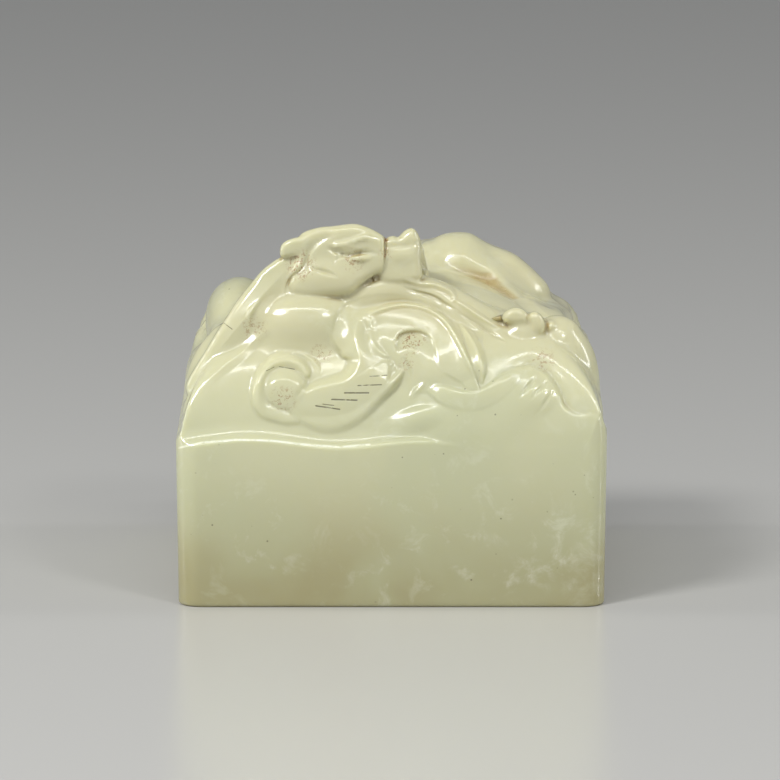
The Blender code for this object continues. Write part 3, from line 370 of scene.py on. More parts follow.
def tail():
    """The tail on the front, in low relief: an arch, the tufted band below it, the rim along that, the curl
    where they end, and the thin looped end of a second tail."""
    strap([(-1.6, 65.0, 6.0, 7.0, 3.2), (9.0, 62.0, 7.0, 8.5, 2.6)], (0.4, 2.0), (0.6, 2.0), 0.5, 1.6)
    strap([(-16.5, 51.6, 0.6, 2.0, 0.6), (-13.0, 51.8, 1.0, 6.0, 2.0), (-10.4, 52.8, 1.2, 7.5, 2.4),
           (-8.4, 54.8, 1.6, 8.0, 2.8), (-7.4, 57.6, 2.2, 6.5, 3.2), (-7.9, 60.6, 3.8, 4.8, 3.6),
           (-8.5, 64.0, 4.9, 4.4, 4.0), (-7.4, 67.2, 5.0, 4.6, 4.3), (-4.4, 69.0, 4.0, 5.5, 4.5),
           (-1.0, 69.9, 2.9, 6.5, 4.6), (2.5, 70.4, 2.2, 7.0, 4.6), (6.0, 70.1, 1.8, 7.5, 4.4),
           (9.0, 69.2, 1.5, 8.0, 4.2), (12.0, 67.2, 1.3, 8.0, 3.8), (14.4, 64.2, 1.2, 8.0, 3.3),
           (16.2, 60.8, 1.1, 7.5, 2.7), (17.8, 57.2, 1.0, 6.0, 2.0), (19.4, 53.6, 0.6, 3.0, 1.0)],
          (0.55, 1.05), (0.45, 1.3), 1.3, 0.7)
    strap([(-21.0, 46.6, 2.6, 2.6, 1.4), (-17.0, 47.6, 3.4, 3.2, 2.0), (-13.0, 48.4, 3.6, 3.6, 2.2),
           (-9.0, 49.6, 3.4, 3.6, 2.2), (-5.5, 51.6, 3.0, 3.4, 2.2), (-3.0, 53.6, 2.8, 2.8, 2.1),
           (-1.2, 55.2, 2.0, 2.0, 1.6)], (0.1, 2.0), (0.35, 2.0), 1.4, 1.5)
    strap([(-21.6, 44.4, 1.0, 0.6, 0.9), (-18.5, 43.2, 2.0, 0.8, 1.7), (-15.0, 42.4, 2.3, 0.9, 2.2),
           (-11.6, 42.9, 2.4, 0.9, 2.3), (-8.3, 44.5, 2.4, 0.9, 2.3), (-5.6, 46.8, 2.3, 0.9, 2.3),
           (-2.8, 49.6, 2.1, 0.9, 2.2), (0.0, 52.4, 1.7, 0.9, 2.0), (2.2, 55.0, 1.0, 0.8, 1.4),
           (3.0, 56.6, 0.5, 0.5, 0.6)], (0.45, 1.0), (0.35, 2.0), 1.4, 0.35)
    strap([(-19.9, 54.6, 1.0, 0.8, 1.0), (-21.4, 56.5, 1.4, 0.9, 1.4), (-23.4, 57.3, 1.6, 1.0, 1.7),
           (-25.2, 57.4, 1.7, 1.0, 1.8), (-27.0, 56.9, 1.7, 1.0, 1.9), (-28.7, 55.7, 1.7, 1.0, 1.9),
           (-30.0, 53.9, 1.7, 1.0, 1.9), (-30.8, 51.7, 1.8, 1.0, 1.9), (-31.0, 49.3, 1.8, 1.0, 1.9),
           (-30.5, 47.1, 1.8, 1.0, 1.9), (-29.2, 45.4, 1.8, 0.9, 1.8), (-27.0, 44.6, 1.7, 0.9, 1.7),
           (-24.4, 43.8, 1.4, 0.8, 1.5), (-22.0, 43.6, 0.9, 0.6, 0.9)], (0.55, 1.2), (0.3, 2.0), 1.6, 0.4)
    strap([(-25.2, 51.2, 4.3, 4.3, 2.5), (-24.2, 50.6, 4.3, 4.3, 2.5)], (0.55, 2.0), (0.55, 2.0), 1.5, 0.5)
    edge([(-17.4, 52.4, 0.1), (-19.0, 51.9, 0.5), (-20.6, 50.4, 0.6), (-22.0, 48.6, 0.4),
          (-22.8, 47.0, 0.05)], 0.4, 1.8)
    line([(-26.6, 48.0, 1.2, -0.1), (-24.6, 46.3, 2.0, -0.3), (-22.6, 44.8, 1.6, -0.3),
          (-21.0, 43.8, 0.8, -0.1)])
    line([(-29.2, 57.2, 0.5, 0.1), (-26.8, 58.9, 1.0, 0.45), (-24.0, 59.3, 1.1, 0.5), (-21.0, 58.9, 1.1, 0.5),
          (-18.8, 57.8, 1.0, 0.45), (-17.3, 56.2, 0.9, 0.4), (-16.4, 54.0, 0.5, 0.1)])
    line([(-5.0, 68.0, 1.4, 0.02), (-4.9, 65.4, 1.9, 0.35), (-4.5, 62.4, 2.0, 0.55), (-3.4, 60.2, 1.8, 0.55),
          (-1.8, 58.9, 1.5, 0.4), (0.2, 58.0, 1.0, 0.05)], 1.6)
    edge([(1.8, 58.4, 0.05), (1.2, 60.0, 0.4), (1.2, 61.8, 0.8), (1.8, 63.2, 1.1), (3.0, 63.9, 1.2),
          (5.0, 64.2, 1.2), (7.0, 64.0, 1.1), (8.7, 62.9, 0.8), (9.6, 61.0, 0.5), (10.2, 58.8, 0.3),
          (11.0, 56.0, 0.05)], 0.6, 7.0)
    line([(2.6, 58.4, 0.6, -0.05), (3.5, 57.0, 0.9, -0.4), (4.1, 55.2, 0.9, -0.4),
          (4.4, 53.2, 0.6, -0.05)], 1.5)
    line([(4.2, 48.8, 0.8, 0.02), (6.0, 50.6, 1.2, 0.45), (8.0, 52.6, 0.8, 0.02)], 1.5)
    strap([(14.6, 67.4, 0.4, 0.5, 0.6), (16.4, 65.2, 0.5, 1.4, 1.6), (18.2, 62.8, 0.6, 2.2, 2.1),
           (19.6, 60.2, 0.6, 2.8, 2.2), (20.4, 57.6, 0.7, 2.8, 2.0), (21.0, 55.0, 0.6, 1.8, 1.5),
           (20.9, 52.8, 0.4, 0.5, 0.5)], (0.3, 2.0), (0.45, 1.0), 1.6, 0.25)
    strap([(8.2, 50.9, 0.6, 0.6, 0.1), (10.6, 50.3, 1.6, 1.6, 0.9),
           (13.4, 49.0, 1.9, 1.9, 1.3), (16.5, 48.2, 1.9, 1.9, 1.3), (20.0, 48.2, 1.9, 1.9, 1.3),
           (23.2, 49.6, 1.9, 1.9, 1.3), (26.0, 51.8, 1.8, 1.9, 1.2), (28.6, 54.2, 1.2, 1.4, 0.8),
           (30.0, 55.4, 0.5, 0.5, 0.3)], (0.3, 2.0), (0.3, 2.0), 1.8, 0.3)
    line([(-5.0, 68.2, 0.6, 0.1), (-2.0, 69.5, 0.9, 0.5), (2.0, 70.4, 0.9, 0.6), (5.0, 70.3, 0.9, 0.6),
          (8.0, 69.6, 0.9, 0.6), (11.0, 67.9, 0.9, 0.6), (13.5, 65.4, 0.9, 0.6), (15.5, 62.1, 0.9, 0.6),
          (16.9, 59.4, 0.9, 0.6), (18.1, 56.8, 0.8, 0.5), (19.4, 53.8, 0.5, 0.1)], 1.2)
    press(1.0, 26.0)


def body():
    """The dragon's body, which goes round the back of the cushion from its neck to its haunch."""
    limb([(-15, -20, 73, 8.5), (-17, -6, 68, 10), (-10, 8, 65, 12), (4, 12, 63, 13.5), (16, 10, 62, 13)], 4.0)
    lump(at(15.5, 69.5, 60), (20.0, 21.0, 15.5), blend=3.0)
    slab([(3.0, 80.0), (7.0, 84.6), (9.4, 85.5), (11.7, 86.7), (14.0, 87.2), (16.3, 87.3), (18.4, 87.0),
          (20.6, 85.9), (23.4, 84.4), (27.9, 82.5), (30.2, 81.0), (33.7, 77.9), (36.3, 75.0), (37.3, 72.1),
          (38.2, 69.5), (37.0, 63.0), (26.0, 60.0), (12.0, 62.0), (3.0, 70.0)], 42.0, 74.0, 11.0, 2.0)
    lump(at(-35.2, 68.0, 46), (8.0, 17.0, 8.8), blend=2.0)
    lump(at(-42.6, 53.5, 44), (4.9, 14.0, 6.4), blend=2.5)


def locks():
    """The long locks that fall from behind the jaw to the left corner."""
    tube([(-38.4, 61.6, 19, 4.3), (-41.2, 57.6, 19, 4.6), (-43.6, 52.8, 20, 4.2), (-45.2, 48.6, 22, 2.8)],
         1.5)
    slab([(-22.0, 82.0), (-25.6, 81.4), (-28.0, 80.0), (-30.4, 78.0), (-33.0, 74.8), (-36.0, 71.0),
          (-38.9, 66.5), (-41.0, 63.3), (-43.3, 59.4), (-45.7, 55.6), (-47.6, 51.9), (-47.2, 49.4),
          (-45.9, 48.4), (-43.7, 50.2), (-39.3, 53.2), (-34.9, 56.3), (-30.4, 59.4), (-26.0, 62.0),
          (-21.0, 66.0), (-18.0, 74.0)], 11.6, 33.0, 1.4, 1.0, 0.2, 60.0)


def chest():
    """The smooth swell under the head, and the limb that comes forward from it to the paw."""
    lump(at(-20.5, 66.2, 18.5), (14.0, 9.0, 8.6), blend=3.5)
    tube([(-12.0, 69.2, 19, 4.4), (-6.0, 72.4, 19, 4.3), (0.0, 73.8, 19.5, 4.2), (6.0, 73.2, 20, 4.3),
          (12.0, 70.8, 20, 4.6), (18.0, 67.4, 20, 4.8), (23.0, 64.6, 19.5, 5.0)], 1.5)
    slab([(12.0, 72.4), (18.0, 71.6), (22.6, 69.0), (26.4, 66.8), (30.0, 66.4), (33.4, 66.0), (35.8, 64.2),
          (36.4, 61.0), (35.4, 57.8), (32.0, 56.2), (27.0, 56.2), (22.0, 56.4), (17.6, 59.0), (12.4, 65.0)],
         12.6, 26.0, 3.4, 1.6, 0.25, 60.0)


def head():
    """The head in profile, facing right: cheek, crown, ears and blunt muzzle."""
    slab([(-21.4, 86.4), (-17.5, 88.2), (-13.4, 88.7), (-8.7, 89.2), (-5.6, 88.4), (-3.0, 87.1),
          (-1.4, 85.6), (-1.0, 82.0), (-1.6, 78.6), (-4.6, 76.8), (-7.4, 75.0), (-8.7, 73.6),
          (-11.0, 72.8), (-16.0, 72.2), (-20.0, 72.2), (-23.2, 73.1), (-24.5, 75.2), (-23.6, 78.4),
          (-22.0, 82.0)], 14.0, 29.0, 2.0, 0.6, 0.1, 80.0)
    slab([(-2.6, 85.0), (-1.2, 85.9), (0.2, 86.4), (1.6, 86.2), (2.6, 87.2), (4.0, 88.1), (5.3, 88.0),
          (6.3, 86.6), (6.9, 84.6), (6.8, 81.0), (6.4, 76.0), (-2.6, 76.0)], 15.5, 27.5, 2.0, 0.5, 0.1,
         80.0)
    slab([(-25.6, 81.5), (-25.8, 83.6), (-24.8, 85.0), (-22.6, 85.9), (-20.0, 86.2), (-16.0, 86.3),
          (-14.4, 86.0), (-17.4, 84.2), (-20.0, 82.2), (-23.2, 81.4)], 14.4, 24.0, 1.3, 0.3)


def paw():
    """The paw at the end of the limb: two toes over a palm."""
    slab([(25.6, 67.4), (26.6, 68.9), (28.6, 69.7), (30.5, 69.3), (31.9, 67.8), (31.6, 66.0), (29.4, 65.8),
          (26.8, 66.0)], 12.0, 27.0, 1.7, 0.3)
    slab([(31.6, 67.6), (33.0, 68.8), (34.5, 68.2), (35.6, 66.4), (35.6, 64.8), (34.4, 63.8), (32.6, 65.0)],
         11.8, 27.0, 1.7, 0.3)
    lump(at(37.0, 65.6, 15.6), (1.3, 2.2, 1.2), blend=0.8)
    lump(at(31.0, 64.2, 15.0), (4.6, 3.0, 2.6), blend=1.4)


def knee():
    """The knee beside the looped tail, and the flank on the right."""
    tube([(38.4, 61.6, 19, 6.4), (40.6, 57.4, 19, 6.8), (42.2, 52.6, 20, 6.2), (43.4, 47.6, 22, 5.0)], 1.2)
    lump(at(33.0, 52.0, 16.0), (11.0, 8.0, 7.0), blend=2.0)
    lump(at(29.8, 44.5, 7.4), (11.0, 6.4, 11.4), blend=1.5)
    lump(at(40.0, 37.6, 7.4), (11.0, 6.2, 8.0), blend=1.5)


def finish_front():
    """The lines and steps cut last, over the head, locks, limb, paw and knee."""
    edge([(-12.6, 86.6, 0.05), (-14.6, 86.0, 0.5), (-17.2, 84.4, 0.9), (-18.9, 82.4, 1.0), (-19.5, 80.6, 0.8),
          (-19.4, 79.2, 0.2)], 0.3, 3.0)
    line([(-19.0, 79.6, 0.5, -0.2), (-18.0, 78.8, 0.6, -0.45), (-15.0, 77.9, 0.8, -0.8),
          (-12.6, 76.9, 0.5, -0.1)], 1.2)
    edge([(-24.8, 73.4, 0.2), (-24.2, 75.6, 0.8), (-23.2, 77.2, 1.1), (-21.4, 78.6, 1.1), (-20.2, 80.2, 0.8),
          (-19.6, 81.8, 0.1)], 0.4, 3.0)
    line([(-15.4, 84.3, 0.5, 0.1), (-12.0, 84.4, 1.0, 1.1), (-9.2, 85.1, 1.1, 1.1), (-6.4, 86.0, 1.0, 1.0),
          (-3.4, 85.4, 0.5, 0.1)], 1.3)
    line([(-15.0, 83.8, 0.5, -0.1), (-12.6, 82.6, 0.8, -1.1), (-9.7, 82.0, 0.9, -1.2),
          (-6.1, 82.6, 0.8, -1.0), (-2.8, 82.4, 0.5, -0.1)], 1.2)
    swell(-8.6, 83.6, 4.2, 1.3, 0.6, 6)
    swell(-7.4, 81.2, 3.2, 1.2, 1.1, 4)
    line([(-13.0, 80.0, 0.4, -0.1), (-12.2, 81.4, 0.5, -0.4), (-10.2, 81.4, 0.5, -0.3),
          (-8.6, 80.4, 0.5, -0.4), (-6.4, 80.2, 0.4, -0.1)], 1.3)
    line([(-1.4, 85.6, 0.5, -0.4), (-1.5, 83.0, 0.6, -0.6), (-1.6, 80.6, 0.5, -0.4),
          (-1.8, 78.6, 0.4, -0.1)], 1.4)
    line([(-1.4, 84.0, 0.8, -0.3), (1.0, 84.2, 1.0, -0.5), (3.6, 84.3, 1.0, -0.5),
          (6.8, 84.8, 0.8, -0.3)], 1.5)
    swell(2.6, 81.8, 4.4, 2.4, 0.6)
    swell(-14.5, 76.6, 10.0, 5.6, 1.3, -4)
    line([(-24.8, 78.0, 1.2, 0.1), (-27.6, 75.2, 2.6, 0.5), (-31.3, 71.0, 3.4, 0.9), (-33.1, 68.3, 3.6, 1.1),
          (-35.3, 65.7, 3.4, 0.9), (-38.2, 62.2, 3.0, 0.5), (-41.0, 58.8, 2.0, 0.1)], 1.1)
    line([(-30.6, 71.4, 0.6, 0.1), (-32.6, 69.0, 1.0, 0.6), (-33.2, 67.0, 1.0, 0.5),
          (-33.0, 64.6, 0.5, 0.1)], 1.2)
    line([(-28.6, 65.0, 1.2, 0.1), (-30.9, 63.0, 1.8, 0.4), (-34.9, 59.4, 2.0, 0.5), (-39.3, 55.9, 1.8, 0.4),
          (-43.0, 52.4, 1.4, 0.1)], 1.2)
    edge([(-13.4, 61.4, 0.05), (-13.6, 64.0, 0.3), (-13.2, 66.4, 0.45), (-12.4, 68.4, 0.5),
          (-10.8, 70.2, 0.4), (-8.0, 71.6, 0.3), (-4.0, 72.5, 0.25), (0.0, 72.7, 0.2), (4.0, 72.4, 0.1)],
         0.6, 3.0)
    line([(3.0, 76.2, 0.5, 0.1), (6.0, 75.4, 1.0, 0.9), (10.0, 75.2, 1.1, 1.0), (13.4, 73.8, 1.1, 0.9),
          (14.6, 72.2, 0.8, 0.4), (14.0, 70.8, 0.4, 0.1)], 1.2)
    edge([(2.6, 74.8, 0.1), (5.8, 73.7, 0.9), (9.8, 72.6, 1.1), (12.6, 70.8, 0.9), (15.0, 69.6, 0.2)],
         0.3, 2.5)
    line([(14.6, 71.6, 0.5, 0.2), (17.4, 69.8, 0.9, 0.8), (21.0, 67.4, 0.9, 0.8), (24.8, 65.2, 0.5, 0.1)],
         1.2)
    line([(15.6, 68.6, 0.5, -0.1), (19.0, 66.4, 0.8, -0.5), (23.0, 63.8, 0.8, -0.5),
          (26.6, 61.8, 0.5, -0.1)], 1.4)
    edge([(50.0, 42.6, 0.2), (46.7, 45.0, 0.6), (44.7, 44.7, 0.9), (42.2, 45.3, 1.2), (40.2, 46.9, 1.5),
          (38.9, 50.2, 1.6), (36.3, 54.1, 1.6), (33.1, 56.0, 1.4), (30.5, 55.7, 1.1), (27.6, 54.4, 0.6),
          (25.0, 52.6, 0.1)], 0.7, 6.0)
    for left, right, low, high in ((29.5, 33.5, 48.8, 53.6), (32.0, 36.0, 48.3, 52.5),
                                   (33.8, 37.5, 45.0, 50.5)):
        line([(left, low, 0.4, -0.1), ((left + right) / 2, (low + high) / 2, 0.6, -0.8),
              (right, high, 0.4, -0.1)], 1.2)
    swell(5.5, 43.6, 9.0, 3.6, 1.3, 14)
    swell(34.0, 48.4, 6.0, 4.6, 1.2, 20)
    press(0.0, 34.0)
    line([(19.4, 86.4, 2.0, -0.05), (24.0, 81.8, 3.0, -0.7), (27.9, 78.3, 3.4, -1.0), (31.8, 75.0, 3.4, -1.0),
          (35.7, 70.8, 2.8, -0.7), (37.3, 66.6, 2.0, -0.1)], 1.5)
    line([(12.0, 80.2, 2.4, -0.05), (16.0, 77.8, 2.8, -0.5), (20.8, 75.7, 3.0, -0.7), (26.6, 72.4, 2.8, -0.7),
          (32.4, 68.3, 2.2, -0.5), (35.6, 65.4, 1.6, -0.1)], 1.5)
    line([(12.0, 83.4, 2.4, 0.05), (15.0, 82.0, 3.0, 0.6), (19.5, 80.0, 3.2, 1.2), (24.0, 77.9, 3.2, 1.4),
          (30.5, 72.8, 3.0, 1.2), (34.4, 69.5, 2.4, 0.3)], 1.1)
    line([(13.0, 76.2, 2.0, 0.1), (16.6, 74.4, 2.4, 0.6), (21.4, 73.2, 2.4, 0.7), (25.6, 71.1, 2.2, 0.6),
          (28.6, 69.5, 1.6, 0.1)], 1.1)
    press(30.0, 78.0)


def sides():
    """Plainer relief on the faces turned away: the same curls, bands and knees."""
    for quarter, shift in ((1, -2.0), (2, 1.0), (3, 2.0)):
        strap([(26 + shift, 46, 1.2, 1.2, 1.0), (22 + shift, 50, 2.6, 2.6, 1.8),
               (16 + shift, 53, 3.4, 3.4, 2.2), (8 + shift, 52, 3.8, 3.8, 2.4),
               (0 + shift, 48.6, 3.8, 3.8, 2.4), (-9 + shift, 47.2, 3.6, 3.6, 2.4),
               (-17 + shift, 50.0, 2.6, 2.6, 2.2), (-20.6 + shift, 55.0, 1.8, 1.8, 2.0),
               (-17.6 + shift, 58.8, 1.5, 1.5, 1.8), (-13.4 + shift, 57.4, 1.0, 1.0, 1.4)], (0.4, 1.6),
              (0.4, 1.6), 1.6, 0.5)
        swell(-16.0 + shift, 54.8, 2.2, 2.2, 1.2)
        strap([(-31 + shift, 50, 1.0, 1.0, 0.6), (-29 + shift, 55, 2.4, 2.4, 2.0),
               (-24 + shift, 61, 3.2, 3.2, 2.8), (-16 + shift, 65, 3.6, 3.6, 3.0),
               (-4 + shift, 64, 3.6, 3.6, 3.0), (8 + shift, 61, 3.2, 3.2, 2.8),
               (19 + shift, 61.6, 3.0, 3.0, 2.6), (27 + shift, 57, 2.6, 2.6, 2.0),
               (30 + shift, 51, 1.2, 1.2, 0.6)], (0.5, 1.4), (0.5, 1.4), 1.6, 0.6)
        strap([(14 + shift, 46, 0.6, 0.6, 0.6), (20 + shift, 44.6, 1.2, 1.2, 1.2),
               (26 + shift, 43.4, 1.6, 1.6, 1.5), (33 + shift, 44.2, 1.6, 1.6, 1.5),
               (38 + shift, 47, 0.8, 0.8, 0.6)], (0.4, 1.6), (0.4, 1.6), 1.6, 0.4)
        swell(-34.0 + shift, 44.6, 7.0, 3.4, 1.6, 18)
        for i in range(3):
            line([(2 + shift + 5 * i, 50.0 + i, 0.4, -0.1), (6 + shift + 5 * i, 51.4 + i, 0.5, -0.5),
                  (10 + shift + 5 * i, 51.8 + i, 0.4, -0.1)], 1.2)
        press(0.0, 24.0, quarter)


ACROSS = 160  # quads along the front of the block, before those in front are quartered
BACK = 72
CARVED_ROWS = 62
CLOSER_IN_FRONT = 1.35  # power that draws the quads towards the front
QUARTERED_TO = -26.0  # how far back the quads are quartered
BLANK_TOP = 88.0
EVENING_ROUNDS = 10
FOOT_ROWS = (0.0, 0.2, 0.45, 0.8, 1.4, 4.0, 12.0, 24.0)


def shell(across, back, heights):
    """A box of quads round the stone, closest together at the front: a top grid, rings of quads down to the
    foot, and one face below."""
    bm = bmesh.new()
    bmesh.ops.create_grid(bm, x_segments=across, y_segments=back, size=50.0)
    for v in bm.verts:
        v.co.y = 100.0 * ((v.co.y + 50.0) / 100.0) ** CLOSER_IN_FRONT - 50.0
        v.co.z = heights[-1]
    rim = [e for e in bm.edges if e.is_boundary]
    for height in heights[-2::-1]:
        made = bmesh.ops.extrude_edge_only(bm, edges=rim)["geom"]
        for v in (item for item in made if isinstance(item, bmesh.types.BMVert)):
            v.co.z = height
        rim = [item for item in made if isinstance(item, bmesh.types.BMEdge) and item.is_boundary]
    bmesh.ops.contextual_create(bm, geom=rim)
    bmesh.ops.recalc_face_normals(bm, faces=bm.faces[:])
    fine = set()
    for face in bm.faces:
        middle = face.calc_center_median()
        if middle.z > FACE_TOP and middle.y < QUARTERED_TO:
            fine.update(face.edges)
    bmesh.ops.subdivide_edges(bm, edges=list(fine), cuts=1, use_grid_fill=True)
    return bm


def neighbour_mean(values, ends, degree):
    """Each vertex's mean over the vertices that share an edge with it."""
    total = np.zeros_like(values)
    for axis in range(values.shape[1]):
        total[:, axis] = np.bincount(ends[:, 0], values[ends[:, 1], axis], len(values))
        total[:, axis] += np.bincount(ends[:, 1], values[ends[:, 0], axis], len(values))
    return total / degree


def normals(mesh, p):
    """The mesh's normals with its vertices at these points."""
    mesh.vertices.foreach_set("co", p.ravel())
    mesh.update()
    n = np.empty(p.size)
    mesh.vertex_normals.foreach_get("vector", n)
    return n.reshape(-1, 3)


def carve(mesh, rounds):
    """Brings every vertex of the box in to the carved surface and evens out the quads on it. It also
    keeps how enclosed the stone is at each vertex, which is where dirt gathers and where shade is painted in."""
    p = np.empty(len(mesh.vertices) * 3)
    mesh.vertices.foreach_get("co", p)
    p = p.reshape(-1, 3)
    way = np.array([0.0, 0.0, FACE_TOP - 1.0]) - p
    way[:, 2] = np.minimum(way[:, 2], 0.0)
    way /= np.linalg.norm(way, axis=1, keepdims=True)
    active = np.arange(len(p))
    for _ in range(60):
        f = field(p[active])
        p[active] += way[active] * np.clip(0.7 * f, -1.0, 2.5)[:, None]
        active = active[np.abs(f) > 0.02]
        if not len(active):
            break
    free = p[:, 2] > FACE_TOP - 0.5
    ends = np.array([e.vertices[:] for e in mesh.edges])
    degree = np.bincount(ends.ravel(), minlength=len(p))[:, None]
    for _ in range(rounds):
        n = normals(mesh, p)
        move = neighbour_mean(p, ends, degree) - p
        move -= n * (n * move).sum(axis=1, keepdims=True)
        p[free] += 0.5 * move[free]
        p[free] -= n[free] * np.clip(0.6 * field(p[free]), -0.5, 0.5)[:, None]
    n = normals(mesh, p)
    hollow = np.zeros(len(p))
    for far in (0.6, 1.6, 3.4):
        hollow[free] += np.clip((far - field(p[free] + n[free] * far)) / far, 0.0, 1.0) / 3.0
    layer = mesh.attributes.new("hollow", "FLOAT", "POINT")
    layer.data.foreach_set("value", hollow)
    p[~free, 2] = np.maximum(p[~free, 2], BASE)
    mesh.vertices.foreach_set("co", ((p - np.array([0.0, 0.0, BASE])) * UNIT).ravel())
    mesh.update()


for form in (sides, tail, body, chest, locks, head, knee, paw, finish_front):
    form()
fineness = 1.0
shoulder = FACE_TOP - 1.0
carved_rows = np.linspace(shoulder, BLANK_TOP, int(CARVED_ROWS * fineness) + 1)
rows = [BASE + rise for rise in FOOT_ROWS] + list(carved_rows)
bm = shell(int(ACROSS * fineness), int(BACK * fineness), rows)
mesh = bpy.data.meshes.new("seal")
bm.to_mesh(mesh)
bm.free()
carve(mesh, EVENING_ROUNDS)
for face in mesh.polygons:
    face.use_smooth = True
seal = bpy.data.objects.new("seal", mesh)
bpy.context.scene.collection.objects.link(seal)

# The colours of the stone, of the painted shade and the dirt in its cuts, of the marks on it and of a painted
# highlight along the top edge of its front face.
STONE = (206, 206, 171)
STONE_SHADED_AT_FOOT = (166, 160, 120)
STONE_CARVED = (208, 204, 168)
STONE_GREENER = (190, 194, 160)
STONE_CLOUD = (222, 224, 204)
# painted highlight along the top edge of the front face
ARRIS_HIGHLIGHT = (240, 242, 224)
SHADE_IN_THE_CUTS = (166, 140, 76)
SPECK = (70, 62, 48)
DIRT = (136, 70, 8)
HATCH = (74, 66, 44)


def lit(red, green, blue):
    """A colour as a picture gives it, from 0 to 255, turned to the light that a shader takes."""
    shares = [c / 255.0 for c in (red, green, blue)]
    return tuple(c / 12.92 if c < 0.0405 else ((c + 0.055) / 1.055) ** 2.4 for c in shares) + (1.0,)


def put(socket, value):
    """Links a socket of another node, or sets a plain value."""
    if isinstance(value, bpy.types.NodeSocket):
        socket.id_data.links.new(value, socket)
    else:
        socket.default_value = value


def sums(tree, operation, *values):
    node = tree.nodes.new("ShaderNodeMath")
    node.operation = operation
    for socket, value in zip(node.inputs, values):
        put(socket, value)
    return node.outputs[0]


def vectors(tree, operation, *values):
    node = tree.nodes.new("ShaderNodeVectorMath")
    node.operation = operation
    for socket, value in zip(node.inputs, values):
        put(socket, value)
    return node.outputs["Value" if operation in ("DOT_PRODUCT", "LENGTH") else "Vector"]


def noise(tree, place, scale, detail=3.0, roughness=0.5, distortion=0.0):
    node = tree.nodes.new("ShaderNodeTexNoise")
    values = {"Vector": place, "Scale": scale, "Detail": detail, "Roughness": roughness,
              "Distortion": distortion}
    for name, value in values.items():
        put(node.inputs[name], value)
    return node.outputs["Fac"]


def between(tree, value, low, high, start=0.0, end=1.0):
    """The value taken from one range to another, with soft ends, and held there."""
    node = tree.nodes.new("ShaderNodeMapRange")
    node.interpolation_type = "SMOOTHSTEP"
    for socket, number in zip(node.inputs, (value, low, high, start, end)):
        put(socket, number)
    return node.outputs["Result"]


def tinted(tree, share, colour, other):
    """A colour with a share of another mixed in."""
    node = tree.nodes.new("ShaderNodeMix")
    node.data_type = "RGBA"
    put(node.inputs[0], share)
    put(node.inputs[6], colour)
    put(node.inputs[7], other)
    return node.outputs[2]


jade = bpy.data.materials.new("jade")
jade.use_nodes = True
tree = jade.node_tree
stone = tree.nodes["Principled BSDF"]
place = tree.nodes.new("ShaderNodeTexCoord").outputs["Object"]
apart = tree.nodes.new("ShaderNodeSeparateXYZ")
put(apart.inputs[0], place)
x, y, z = apart.outputs
worn = tree.nodes.new("ShaderNodeAttribute")
worn.attribute_name = "hollow"
hollow = worn.outputs["Fac"]

# How far a spot is from a mark on the front, in hundredths of the side, for what is drawn there in colour.
up = sums(tree, "ADD", sums(tree, "MULTIPLY", z, RISE[2] / UNIT), sums(tree, "MULTIPLY", y, RISE[1] / UNIT))
together = tree.nodes.new("ShaderNodeCombineXYZ")
put(together.inputs[0], sums(tree, "MULTIPLY", x, 1.0 / UNIT))
put(together.inputs[1], sums(tree, "ADD", up, 50.0 * RISE[1]))
mark = together.outputs[0]


def off_stroke(tree, mark, start, end):
    """How far each spot of the layout is from a straight stroke."""
    along = np.subtract(end, start)
    q = vectors(tree, "SUBTRACT", mark, (*start, 0.0))
    share = vectors(tree, "DOT_PRODUCT", q, (*(along / (along @ along)), 0.0))
    held = sums(tree, "MINIMUM", sums(tree, "MAXIMUM", share, 0.0), 1.0)
    step = tree.nodes.new("ShaderNodeVectorMath")
    step.operation = "SCALE"
    put(step.inputs[0], (*along, 0.0))
    put(step.inputs["Scale"], held)
    return vectors(tree, "LENGTH", vectors(tree, "SUBTRACT", q, step.outputs[0]))


# The stone's own colour, with painted shade making it darker and browner towards the foot; a slow drift
# towards green, and cloudy veins.
drift = noise(tree, place, 55.0, 3.0, 0.5, 0.6)
haze = noise(tree, place, 330.0, 5.0, 0.66, 0.5)
grain = noise(tree, place, 1500.0, 3.0, 0.6)
# Painted shade: darker and browner low on the faces.
colour = tinted(tree, between(tree, z, 0.0165, 0.001), lit(*STONE), lit(*STONE_SHADED_AT_FOOT))
colour = tinted(tree, between(tree, z, 0.017, 0.030), colour, lit(*STONE_CARVED))
colour = tinted(tree, between(tree, drift, 0.40, 0.70, 0.0, 0.5), colour, lit(*STONE_GREENER))
veins = sums(tree, "MULTIPLY", between(tree, haze, 0.54, 0.70), between(tree, drift, 0.36, 0.60))
colour = tinted(tree, sums(tree, "MULTIPLY", veins, 0.28), colour, lit(*STONE_CLOUD))
# Whitish clouds in the front face, most of them low on the right.
for across, height, reach, strength in (
    (40.0, 16.0, 14.0, 0.45), (33.0, 9.0, 11.0, 0.4), (25.0, 19.0, 8.0, 0.4), (-12.5, 17.0, 6.0, 0.4),
    (-5.0, 28.5, 4.0, 0.4), (45.0, 6.0, 9.0, 0.3), (30.0, 31.0, 5.0, 0.25), (-4.0, 11.0, 4.0, 0.2),
):
    far = vectors(tree, "LENGTH", vectors(tree, "SUBTRACT", mark, (across, height, 0.0)))
    share = sums(tree, "MULTIPLY", between(tree, far, reach, reach * 0.2), between(tree, haze, 0.46, 0.66))
    share = sums(tree, "MULTIPLY", share, between(tree, y, -0.012, -0.018))
    colour = tinted(tree, sums(tree, "MULTIPLY", share, strength * 0.55), colour, lit(*STONE_CLOUD))
